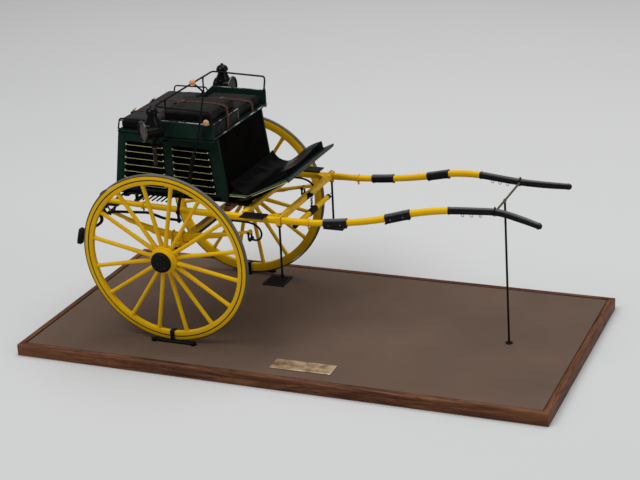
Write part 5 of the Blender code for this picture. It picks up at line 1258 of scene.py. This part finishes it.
def swell(mesh_object):
    """Inflates a closed mesh with a short cloth simulation and keeps the result."""
    mesh = mesh_object.data
    start = [v.co.copy() for v in mesh.vertices]
    cloth = mesh_object.modifiers.new("cloth", "CLOTH")
    cloth.settings.quality = 4
    cloth.settings.mass = 0.3
    cloth.settings.use_pressure = True
    cloth.settings.uniform_pressure_force = PRESSURE
    cloth.settings.tension_stiffness = 12
    cloth.settings.compression_stiffness = 12
    cloth.settings.bending_stiffness = 2
    cloth.settings.effector_weights.gravity = 0
    cloth.collision_settings.use_collision = False
    scene = bpy.context.scene
    cloth.point_cache.frame_start = 1
    cloth.point_cache.frame_end = FRAMES
    for number in range(1, FRAMES + 1):
        scene.frame_set(number)
    graph = bpy.context.evaluated_depsgraph_get()
    found = mesh_object.evaluated_get(graph).to_mesh()
    ends = [v.co.copy() for v in found.vertices]
    mesh_object.evaluated_get(graph).to_mesh_clear()
    mesh_object.modifiers.remove(cloth)
    scene.frame_set(1)
    for vert, a, b in zip(mesh.vertices, start, ends):
        move = b - a
        if move.length > LONGEST_MOVE:
            move *= LONGEST_MOVE / move.length
        vert.co = a + move


def cushion_form(x0, x1, y0, y1, z0, z1):
    """A closed block in the cart's frame: a grid below and above, and rings round its edge."""
    bm = bmesh.new()
    nx, ny = 12, 14
    grid = {}
    for level, (z, grow) in enumerate(((z0, -0.8), (z0 + 0.9, -0.1), ((z0 + z1) / 2, 0), (z1 - 0.9, -0.1),
            (z1, -0.8))):
        for i in range(nx + 1):
            for j in range(ny + 1):
                if 0 < i < nx and 0 < j < ny and 0 < level < 4:
                    continue
                u, v = -1 + 2 * i / nx, -1 + 2 * j / ny
                x = (x0 + x1) / 2 + u * ((x1 - x0) / 2 + grow)
                y = (y0 + y1) / 2 + v * ((y1 - y0) / 2 + grow)
                pull = 0.6
                if i in (0, nx):
                    x -= math.copysign(pull * (1 - v * v), u)
                if j in (0, ny):
                    y -= math.copysign(pull * (1 - u * u), v)
                grid[level, i, j] = bm.verts.new((x, y, z))
    for level in (0, 4):
        for i in range(nx):
            for j in range(ny):
                bm.faces.new([grid[level, a, b] for a, b in ((i, j), (i + 1, j), (i + 1, j + 1),
                    (i, j + 1))])
    border = [(i, 0) for i in range(nx)] + [(nx, j) for j in range(ny)]
    border += [(i, ny) for i in range(nx, 0, -1)] + [(0, j) for j in range(ny, 0, -1)]
    for level in range(4):
        for k, (a, b) in enumerate(border):
            c, d = border[(k + 1) % len(border)]
            bm.faces.new([grid[level, a, b], grid[level, c, d], grid[level + 1, c, d],
                grid[level + 1, a, b]])
    bmesh.ops.recalc_face_normals(bm, faces=bm.faces)
    return bm


def make_cushion(name, node, x0, x1, y0, y1, z0, z1, top, grooves=(), buttons=(), hide=SEAT_HIDE):
    """z1 is the height of the upper seam, and top that of the crown."""
    bm = cushion_form(x0 + 0.7, x1 - 0.7, y0 + 0.7, y1 - 0.7, z0 + 0.1, z1)
    bm.transform(Matrix.Scale(BLOW_UP * MM, 4))
    mesh = bpy.data.meshes.new(name)
    bm.to_mesh(mesh)
    bm.free()
    obj = bpy.data.objects.new(name, mesh)
    bpy.context.scene.collection.objects.link(obj)
    remesh = obj.modifiers.new("remesh", "REMESH")
    remesh.mode = "VOXEL"
    remesh.voxel_size = VOXEL
    graph = bpy.context.evaluated_depsgraph_get()
    obj.data = bpy.data.meshes.new_from_object(obj.evaluated_get(graph))
    obj.modifiers.clear()
    swell(obj)
    mid_x, mid_y, half_x, half_y = (x0 + x1) / 2, (y0 + y1) / 2, (x1 - x0) / 2, (y1 - y0) / 2
    for vert in obj.data.vertices:
        p = vert.co / (BLOW_UP * MM)
        u = min(1, abs(p.x - mid_x) / half_x)
        v = min(1, abs(p.y - mid_y) / half_y)
        share = max(0, min(1, (p.z - z0) / (z1 - z0)))
        upper = max(0, (share - 0.6) / 0.4)
        p.z += (top - z1) * (1 - u ** 3) * (1 - v ** 3) * upper * 0.75
        p.z += 0.28 * noise.noise(Vector((p.x * 0.11, p.y * 0.11, x0))) * upper
        for g in grooves:
            away = abs(p.y - g)
            p.z -= upper * 1.1 * max(0, 1 - (away / 5) ** 2) * (1 - u ** 6)
        for bx, by in buttons:
            away = math.hypot(p.x - bx, p.y - by)
            p.z -= upper * 2.4 * math.exp(-(away / 3.2) ** 2)
            angle = math.atan2(p.y - by, p.x - bx)
            p.z -= upper * 0.25 * math.exp(-(away / 6.5) ** 2) * (0.5 + 0.5 * math.cos(4 * angle + 0.6))
        p.x = min(max(p.x, x0 - 0.2), x1 + 0.2)
        p.y = min(max(p.y, y0 - 0.2), y1 + 0.2)
        p.z = min(max(p.z, z0), top + 0.3)
        vert.co = p
    bm = bmesh.new()
    bm.from_mesh(obj.data)
    bmesh.ops.smooth_vert(bm, verts=bm.verts, factor=0.4, use_axis_x=True, use_axis_y=True, use_axis_z=True)
    bm.transform(TO_ROOM)
    bm.to_mesh(obj.data)
    bm.free()
    obj.data.materials.clear()
    obj.data.materials.append(hide)
    obj.data.shade_smooth()
    obj.modifiers.new("soft", "SUBSURF").levels = 1
    obj.modifiers["soft"].render_levels = 1
    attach(obj, "cart")
    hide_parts(node)

    # Piping round both seams, drawn in a little between the corners like the cushion
    shape = Shape()
    pull = 0.45
    for z, in_by in ((z1 - 0.9, 0.35), (z0 + 0.9, 0.3)):
        outline = round_rect(x0 + in_by, x1 - in_by, y0 + in_by, y1 - in_by, 1.6, 4)
        path = refined([Vector((x, y, z)) for x, y in outline + outline[:1]], 4)[:-1]
        for point in path:
            off_x, off_y = point.x - mid_x, point.y - mid_y
            u, v = abs(off_x) / half_x, abs(off_y) / half_y
            if u > v * 0.99 and u > 0.9:
                point.x -= math.copysign(pull * (1 - v * v), off_x)
            if v > u * 0.99 and v > 0.9:
                point.y -= math.copysign(pull * (1 - u * u), off_y)
        shape.sweep(path, circle(0.42, 8), loop=True)
    for bx, by in buttons:
        shape.stud((bx, by, top - 2.3), (0, 0, 1), 2, 0.5, 18)
    piece(name + "_trim", shape, HIDE)


def make_seat():
    make_cushion("seat_rear", "cushion_rear", -62.6, -18.8, -54.4, 54.4, SEAT_Z + 0.05, 213.4, 215.3,
        grooves=(-27, 15), hide=REAR_HIDE)
    make_cushion("seat_driver", "cushion_driver", -13.6, 41.2, -56.8, -1.2, 216.75, 226, 228.2,
        grooves=(-26.5,), buttons=[(x, y) for x in (0, 29) for y in (-44.5, -10.5)])
    make_cushion("seat_passenger", "cushion_passenger", -13.6, 41.6, 0.4, 58.4, SEAT_Z + 0.05, 213.4, 215.3,
        grooves=(32,), buttons=[(x, y) for x in (0, 29) for y in (12, 48)])
    shape = Shape()
    shape.plate(round_rect(-14, 42.2, -57.5, -0.9, 1.2), SEAT_Z, 216.4, 2, 0.6)
    for z in (204.3, 215.7):
        path = [(x, y, z) for x, y in round_rect(-14.1, 42.3, -57.6, -0.8, 1.3, 3)]
        shape.sweep(path, circle(0.45, 8), loop=True)
    for i in range(38):
        y = -56 + 53.5 * i / 37
        shape.stud((42.25, y, 214.6), (1, 0, 0), 0.2, 0.14, 6)
        x = -12.5 + 53.2 * i / 37
        shape.stud((x, -57.55, 214.6), (0, -1, 0), 0.2, 0.14, 6)
    shape.tint = 1
    shape.sweep([(42.4, y, 216.35) for y in (-57.4, -40, -20, -1)], circle(0.45, 10))
    shape.sweep([(42.3, -0.75, 204.2), (42.3, -0.75, 210), (42.3, -0.75, 215.9)], circle(0.35, 10),
        (1, 0, 0))
    piece("driver_box_hide", shape, [HIDE, PIPING], "driver_box")


def refined(path, longest):
    """The path with its long steps cut up, each to about the longest allowed."""
    made = []
    for a, b in zip(path, path[1:]):
        steps = max(1, round((b - a).length / longest))
        made += [a.lerp(b, i / steps) for i in range(steps)]
    return made + [path[-1]]


def lay_on_seats(points, lift=0.35, width=2):
    """Puts the level parts of a strap on the finished cushions below them."""
    graph = bpy.context.evaluated_depsgraph_get()
    seats = [BVHTree.FromObject(bpy.data.objects[name], graph) for name in ("seat_rear", "seat_driver",
        "seat_passenger")]
    laid = []
    for point in points:
        heights = []
        for across in (-width, 0, width):
            start = TO_ROOM @ Vector((point.x, point.y + across, 300))
            for seat in seats:
                hit = seat.ray_cast(start, Vector((0, 0, -1)))[0]
                if hit:
                    heights.append((hit.z - ORIGIN.z) / MM)
        high = max(heights, default=0) + lift
        laid.append(Vector((point.x, point.y, high)) if abs(high - point.z) < 4 else point)
    return laid


def make_strap(name, node, path, buckles):
    shape = Shape()
    fine = lay_on_seats(refined(bent(path, 2.4, 5), 3))
    rows = []
    up = Vector((0, 1, 0))
    count = len(fine)
    for i, point in enumerate(fine):
        tangent = (fine[min(i + 1, count - 1)] - fine[max(i - 1, 0)]).normalized()
        across = up - tangent * up.dot(tangent)
        across.normalize()
        out = across.cross(tangent)
        if out.z < 0 and abs(out.z) > abs(out.x):
            out.negate()
        rows.append((point, across, out, tangent))
    rings = []
    for point, across, out, tangent in rows:
        rings.append([point + across * a + out * b for a, b in ((-2.2, -0.12), (-2.2, 0.12), (-2, 0.3),
            (-1.6, 0.22), (1.6, 0.22), (2, 0.3), (2.2, 0.12), (2.2, -0.12), (2, -0.3), (-2, -0.3))])
    shape.skin(rings)
    for i, (point, across, out, tangent) in enumerate(rows[1:-1]):
        nxt = rows[i + 2][0]
        for t in (0, 0.5):
            at = point.lerp(nxt, t)
            for side in (-1.55, 1.55):
                shape.tint = 2
                place = Matrix.Translation(at + across * side + out * 0.22)
                axes = Matrix((tangent, across, out)).transposed().to_4x4()
                shape.skin([[(a * 0.42, b * 0.11, h) for a, b in ((-1, -1), (1, -1), (1, 1), (-1, 1))]
                    for h in (0, 0.1)], place @ axes)
    for share in buckles:
        point, across, out, tangent = rows[int(share * (len(rows) - 1))]
        axes = Matrix.Translation(point + out * 0.55) @ Matrix((tangent, across, out)).transposed().to_4x4()
        shape.tint = 1
        frame_path = [(x, y, 0) for x, y in round_rect(-1.2, 1.2, -2.6, 2.6, 0.5, 3)]
        shape.sweep(frame_path, circle(0.26, 8), loop=True, place=axes)
        shape.sweep([(-1.1, 0, 0.1), (0, 0, 0.35), (1.4, 0, 0.15)], circle(0.2, 8), (0, 1, 0), place=axes)
        shape.tint = 0
        loop = [(3.4, -2.5, -0.55), (3.4, -2.5, 0.1), (3.4, 2.5, 0.1), (3.4, 2.5, -0.55)]
        shape.sweep(bent(loop, 0.4, 3), bar(0.15, 0.8, 0.1, 1), (1, 0, 0), place=axes)
    piece(name, shape, [TAN, STEEL, TUBE_HIDE], node)


def make_straps():
    over = SEAT_Z + 10.95
    y, high = -26.5, 227.1
    make_strap("strap_driver", "strap_near", [(-63.6, y, 205.2), (-63.6, y, 212), (-61.6, y, over),
        (-19, y, over), (-16.4, y, 217), (-15.1, y, 224), (-13, y, high), (40.4, y, high), (42.95, y, 224),
        (42.95, y, 203.9)], (0.12, 0.62))
    y, y1, lift = 15, 32, 1.5
    make_strap("strap_passenger", "strap_far", [(-63.6, y, 205.2), (-63.6, y, 212), (-61.6, y, over),
        (-24, y, over), (-17, y + 3, over + lift), (-4, y1 - 3, over + lift), (4, y1, over),
        (40.6, y1, over), (42.95, y1, 212), (42.95, y1, 203.9)], (0.12, 0.7))


# ---------------------------------------------------------------- ironwork
def make_rails():
    shape = Shape()
    foot, half = 217.9, 66.1
    sides = {}
    for s in (NEAR, FAR):
        sides[s] = [(43, s * 63.15, foot), (43, s * 64.2, foot + 5), (43, s * half, foot + 9),
            (42.6, s * half, 231.3), (-16, s * half, 233.6)]
        shape.turned(((1.7, 0), (1.7, 0.5), (1.2, 1), (1, 1.6)), 14, shift(43, s * 63.15, foot - 0.1))
        shape.sweep([(-16, s * 43, 233.6), (-16.2, s * 43, SEAT_Z)], circle(0.8), (0, 1, 0))
        shape.stud((-16.2, s * 43, 203.4), (0, 0, 1), 1.9, 1.2, 14)
        shape.turned(((0.9, -0.7), (1.25, -0.4), (1.25, 0.4), (0.9, 0.7)), 12, shift(-16, s * 43, 232.4))
    path = bent(sides[NEAR] + sides[FAR][::-1], 4, 6)
    shape.sweep(path, circle(0.9), (1, 0, 0))
    piece("rail_iron", shape, BLACK, "rail_front")
    for s, side in SIDES:
        shape = Shape()
        path = [(-62.5, s * 54.4, 204.1), (-62, s * 56.5, 205.3), (-60.5, s * 61, 206.1),
            (-58.2, s * 61, 217.3), (-22.4, s * 61.6, 217.3), (-21.8, s * 63.1, 213.9)]
        shape.sweep(bent(path, 3, 6), circle(0.75), (0, 0.3, 1))
        shape.stud((-62.5, s * 54.4, 203.6), (0, 0, 1), 1.4, 0.8, 12)
        piece("rail_iron_rear_" + side, shape, BLACK, "rail_rear_" + side)


def make_lamp(s, side):
    # The near lamp stands turned back, the far one faces ahead
    turn = math.radians(-130) if s == NEAR else 0
    place = shift(LAMP_X, s * LAMP_Y, LAMP_Z) @ Matrix.Rotation(turn, 4, "Z")
    along = axis_place((0, 0, 0), (1, 0, 0))
    shape = Shape(place)
    shape.turned(((0, -9.6), (5.2, -9.6), (6.6, -9.2), (7, -8.9), (7.1, -8.5), (8.4, -8.2), (8.8, -7.6),
        (8.8, 8.3), (9.1, 8.5), (9.1, 9.3), (8.8, 9.5), (0, 9.5)), 36, along)
    for x in (-5, 3):
        shape.turned(((8.7, x - 0.6), (9, x - 0.4), (9, x + 0.4), (8.7, x + 0.6)), 36, along)
    # Chimney above: a fluted neck, a cowl and a finial
    shape.turned(((0, 3), (8, 3), (8.2, 4), (8.2, 6.6), (7.6, 7.4), (7.1, 8.6), (6, 11), (4.9, 13.6),
        (4.7, 14.2), (5, 14.5), (5, 14.9), (4.6, 15.2), (4.6, 16.1), (5.9, 16.5), (6.25, 16.8),
        (6.25, 18.5), (5.9, 19.1), (5.1, 20.7), (4.2, 21.6), (2.7, 22.2), (1.9, 22.5), (1.5, 23),
        (1.7, 23.4), (1.2, 24), (0, 24.35)), 28)
    for k in range(10):
        angle = 2 * math.pi * k / 10
        at = (4.66 * math.cos(angle), 4.66 * math.sin(angle), 15.65)
        shape.stud(at, (math.cos(angle), math.sin(angle), 0), 0.42, 0.2, 8)
    # Base and narrow socket below, then the candle tube, covered in brown leather
    shape.turned(((0, -6), (5, -6), (5, -7.6), (4.4, -9.2), (3, -10.8), (1.9, -11.6), (1.7, -12.4),
        (2.2, -12.9), (2.3, -13.4), (1.9, -14), (1.6, -14.6), (1.7, -17.4)), 28)
    shape.tint = 1
    shape.turned(((1.7, -17.4), (2.05, -17.6), (2.05, -18.4), (1.7, -18.6)), 24)
    shape.tint = 2
    shape.turned(((1.75, -18.5), (1.85, -18.9), (2.15, -34.9), (1.9, -35.6), (1.2, -35.95), (0, -36)), 24)
    piece("lamp_case_" + side, shape, [JAPAN, STEEL, TUBE_HIDE], "lamp_" + side,
        "lamp_" + side)

    shape = Shape(place)
    front = 9.8
    shape.turned(((0, front, 1), (9.9, front, 1), (10.5, front + 0.2, 0), (10.7, front + 0.7, 0),
        (10.6, front + 1.3, 0), (10.3, front + 1.8, 0), (9.9, front + 1.95, 1), (9.4, front + 1.6, 1),
        (8.9, front + 0.9, 1), (8.4, front + 0.8, 1), (8.1, front + 0.95, 2), (6.9, front + 1, 2),
        (6.4, front + 1.1, 2), (6, front + 1, 2), (2.8, front + 1.25, 2), (0, front + 1.3)), 40, along)
    piece("lamp_front_" + side, shape, [RIM, JAPAN, GLASS], "lamp_lens_" + side,
        "lamp_" + side)

    shape = Shape()
    x, y, top = LAMP_X, s * LAMP_Y, LAMP_Z - 15.2
    shape.turned(((1.95, top - 2.6), (2.5, top - 2.6), (2.7, top - 2.4), (2.7, top - 0.3), (2.5, top),
        (1.95, top)), 28, shift(x, y, 0), loop=True)
    arm = [(x, s * 55.2, top - 2.2), (x, s * 66, top - 2.6), (x, s * 78, top - 1.4)]
    shape.sweep(smooth_path(arm), circle(0.55))
    shape.block(x - 1.6, x + 1.6, s * 54.6, s * 55.5, top - 5, top + 0.4)
    for z in (top - 4, top - 0.6):
        shape.stud((x, s * 55.65, z), (0, s, 0), 0.6, 0.35)
    piece("lamp_socket_" + side, shape, BLACK, "lamp_bracket_" + side)


def knob(shape, at, direction, tint):
    shape.tint = tint
    shape.turned(((0, -2.6), (1.5, -2.6), (1.8, -2.2), (1.6, -1.6), (1.9, -1.2), (2.6, -0.5), (2.95, 0.4),
        (3, 1.2), (2.8, 2.1), (2.2, 2.9), (1.3, 3.35), (0, 3.5)), 26, axis_place(at, direction))


def make_brake():
    y = -76.3
    shape = Shape()
    arm = [ROD_PIN, (6.2, 131), (9.8, 145.9), (20, 160), (26, 184), (31, 197), (37.9, 225.3), (43.6, 252.7)]
    shape.sweep(bent(at_side(y, arm), 4, 6), bar(0.8, 0.75, 0.25), (0, 1, 0))
    top = [(43.6, 252.7), (43.2, 254.6), (40.5, 257), (36.6, 260), (34.6, 261.6)]
    shape.sweep(smooth_path(at_side(y, top), 4), circle(0.85, 10), (0, 1, 0))
    shape.boss(axis_place((43.3, y, 252.9)), 1.9, 1.2, 0.2, 0.3)
    foot = [ROD_PIN, (6.2, 131), (9.8, 145.9), (18, 157.2)]
    shape.sweep(bent(at_side(y, foot), 4, 6), bar(1.45, 0.7, 0.3), (0, 1, 0))
    for x, z, inner in ((5.9, 130, -1.5), (*ROD_PIN, -0.9)):
        shape.turned(((0, inner), (1.9, inner), (2, inner + 0.2), (2, 1), (1.9, 1.1), (0, 1.1)), 20,
            axis_place((x, y, z), (0, -1, 0)))
        shape.nut((x, y - 1.3, z), (0, -1, 0), 1.3, 0.9)
    shape.rod((ROD_PIN[0], y, ROD_PIN[1]), (ROD_PIN[0], -73.7, ROD_PIN[1]), 0.75, 14)
    shape.tint = 1
    grip = [(20.6, 161.2), (21.8, 165), (24.4, 176), (26.2, 184), (28.4, 190.6)]
    shape.sweep(smooth_path(at_side(y, grip), 5), oval(1.9, 1.25, 14, 3), (0, 1, 0))
    knob(shape, (33.4, y, 262.6), (-1, 0, 1), 2)
    piece("brake_lever_iron", shape, [BLACK, HIDE, KNOB_WOOD], "brake_lever", "brake_lever")

    shape = Shape()
    y = -74.6
    route = [(-75.6, 120.7), (-68, 123.6), (-27, 126.2), (-11, 121.6), (5.4, 121.2)]
    shape.sweep(bent(at_side(y, route), 4, 6), bar(1.35, 0.65, 0.3), (0, 1, 0))
    for x, z in ((-76.8, 120.6), ROD_PIN):
        shape.boss(axis_place((x, y, z)), 2, 0.6, bore=1)
    piece("pull_rod_iron", shape, BLACK, "brake_pull_rod", "brake_pull_rod")


def make_side_crank():
    shape = Shape()
    at = Vector((34.3, -64.6, 207.2))
    end = Vector((40.5, -66.9, 221.6))
    shape.turned(((0, 0), (1.7, 0), (1.7, 1.6), (2.1, 1.9), (2.1, 3.1), (1.6, 3.4), (0, 3.6)), 20,
        axis_place(at, (0, -1, 0)))
    across = Vector((end.z - at.z, 0, at.x - end.x)).normalized()
    for side in (-1, 1):
        path = [Vector((at.x, end.y + 0.5, at.z)) + across * (1 * side),
            Vector((at.x, end.y + 0.4, at.z)).lerp(Vector((end.x, end.y + 0.4, end.z)), 0.5) + across
            * (1.7 * side), Vector((end.x, end.y + 0.4, end.z)) + across * (0.35 * side)]
        shape.sweep(smooth_path(path), bar(0.5, 0.55, 0.2), (0, 1, 0))
    shape.turned(((0, -0.2), (1.5, -0.2), (1.6, 0.9), (1.3, 1.1), (0, 1.1)), 16,
        axis_place((end.x, end.y + 1, end.z), (0, -1, 0)))
    shape.tint = 1
    shape.turned(((0, 0), (1.3, 0), (1.6, -0.9), (2.5, -1.6), (2.95, -2.5), (3, -3.3), (2.75, -4.2),
        (2, -4.8), (1.1, -5.05), (0, -5.1)), 26, axis_place((end.x, end.y + 0.6, end.z)))
    piece("side_crank_iron", shape, [BLACK, KNOB_WOOD], "side_crank", "side_crank")


def make_stand():
    """Thin prop with a brass cross bar that lies in two narrow loops round the shaft ends."""
    low = local_box("display_stand")[0]
    x, foot_x, foot_y = 318.4, 321.7, -10.5
    out, z, w, h = shaft_at(x)
    shape = Shape()
    shape.turned(((0, 0), (3.4, 0), (3.6, 0.2), (3.6, 0.8), (3.3, 1), (1.2, 1.1), (0.9, 1.6)), 28,
        shift(foot_x, foot_y, low.z))
    shape.rod((foot_x, foot_y, low.z + 0.5), (x, foot_y, z - 0.4), 1.05, 14)
    for s in (NEAR, FAR):
        shaft_run(shape, s, x - 0.7, x + 0.7, 0.95, 1, ends=((0, -0.25), (0.3, 0)), power=2.4)
        shape.rod((x, s * out, z + h + 0.6), (x, s * out, z + h + 2), 0.8, 12)
    shape.tint = 1
    shape.rod((x, -(out - w - 0.4), z), (x, out - w - 0.4, z), 1.05, 14)
    shape.boss(axis_place((x, foot_y, z)), 1.5, 1.4, 0.15, 0.2, steps=18)
    piece("prop_iron", shape, [BLACK, OLD_BRASS], "display_stand")


def finish_nodes():
    """Better materials on the solids whose own shape shows."""
    for finish, nodes in ((COVERING, ["plinth_board"]),
            (BLACK, ["axle", "step_near", "step_far", "brake_beam"])):
        for node in nodes:
            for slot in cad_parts[node].material_slots:
                slot.material = finish


# ---------------------------------------------------------------- room
def make_room():
    ground, size, count = CAD_BOX[0].z, 8, 24
    bm = bmesh.new()
    grid = [[bm.verts.new((size * (i / count - 0.5), size * (k / count - 0.5), ground))
        for k in range(count + 1)] for i in range(count + 1)]
    for i in range(count):
        for k in range(count):
            bm.faces.new((grid[i][k], grid[i + 1][k], grid[i + 1][k + 1], grid[i][k + 1]))
    mesh = bpy.data.meshes.new("floor")
    bm.to_mesh(mesh)
    bm.free()
    floor = bpy.data.objects.new("floor", mesh)
    bpy.context.scene.collection.objects.link(floor)
    f = Finish("floor_paper", rough=0.9, specular=0.2)
    place = f.add("ShaderNodeSeparateXYZ", Vector=f.space)
    # Lighter toward +Y: a painted light falloff across the floor
    color = f.mix(f.span(place.outputs["Y"], -0.2, 1.3), (0.525, 0.53, 0.53), (0.655, 0.65, 0.645))
    color = f.mix(f.times(f.span(f.noise(1.2, 3), 0.3, 0.7), 0.3), color, (0.56, 0.56, 0.56))
    mesh.materials.append(f.done(color, normal=f.bump(f.noise(900, 2), 0.05, 0.1)))

    world = bpy.data.worlds.new("room")
    bpy.context.scene.world = world
    world.use_nodes = True
    back = world.node_tree.nodes["Background"]
    back.inputs["Color"].default_value = (0.86, 0.88, 0.9, 1)
    back.inputs["Strength"].default_value = 0.3
    for name, place, aim, power, width, height in (
            ("key", (-0.9, -1.3, 2.3), (0, 0, 0.1), 36, 1.6, 1.2),
            ("top", (0.3, 0.5, 2.4), (0, 0, 0.1), 36, 2, 1.4),
            ("side", (2.2, -0.4, 1.2), (0, 0, 0.1), 9, 1.2, 1.2)):
        light = bpy.data.lights.new(name, "AREA")
        light.shape = "RECTANGLE"
        light.size, light.size_y = width, height
        light.energy = power
        lamp = bpy.data.objects.new(name, light)
        bpy.context.scene.collection.objects.link(lamp)
        lamp.location = place
        lamp.rotation_euler = (Vector(aim) - Vector(place)).to_track_quat("-Z", "Y").to_euler()

    camera = bpy.data.objects.new("camera", bpy.data.cameras.new("camera"))
    bpy.context.scene.collection.objects.link(camera)
    bpy.context.scene.camera = camera
    camera.data.sensor_width = 36
    camera.data.lens = 92
    camera.data.clip_start, camera.data.clip_end = 0.05, 60
    yaw, pitch, roll = -0.3978, 0.3623, -0.0497
    forward = Vector((math.sin(yaw) * math.cos(pitch), math.cos(yaw) * math.cos(pitch), -math.sin(pitch)))
    right = Vector((math.cos(yaw), -math.sin(yaw), 0))
    up = right.cross(forward)
    right, up = (right * math.cos(roll) + up * math.sin(roll), up * math.cos(roll) - right * math.sin(roll))
    turn = Matrix((right, up, -forward)).transposed()
    eye = ORIGIN + Vector((718.2, -1415.5, 666.2)) * MM
    camera.matrix_world = Matrix.Translation(eye) @ turn.to_4x4()
    bpy.context.scene.view_settings.view_transform = "Standard"


make_room()
make_plinth()
for s, side in SIDES:
    make_wheel(s, side)
    make_wheel_clip(s, side)
    make_spring(s, side)
    make_spring_irons(s, side)
    make_shaft(s, side)
    make_body_side(s, side)
    make_lamp(s, side)
make_axle_bed()
make_splinter_bar()
make_swingletree()
make_ends()
make_body_frame()
make_toe_board()
make_apron()
make_seat_deck()
make_seat()
make_straps()
make_rails()
make_brake()
make_side_crank()
make_stand()
finish_nodes()
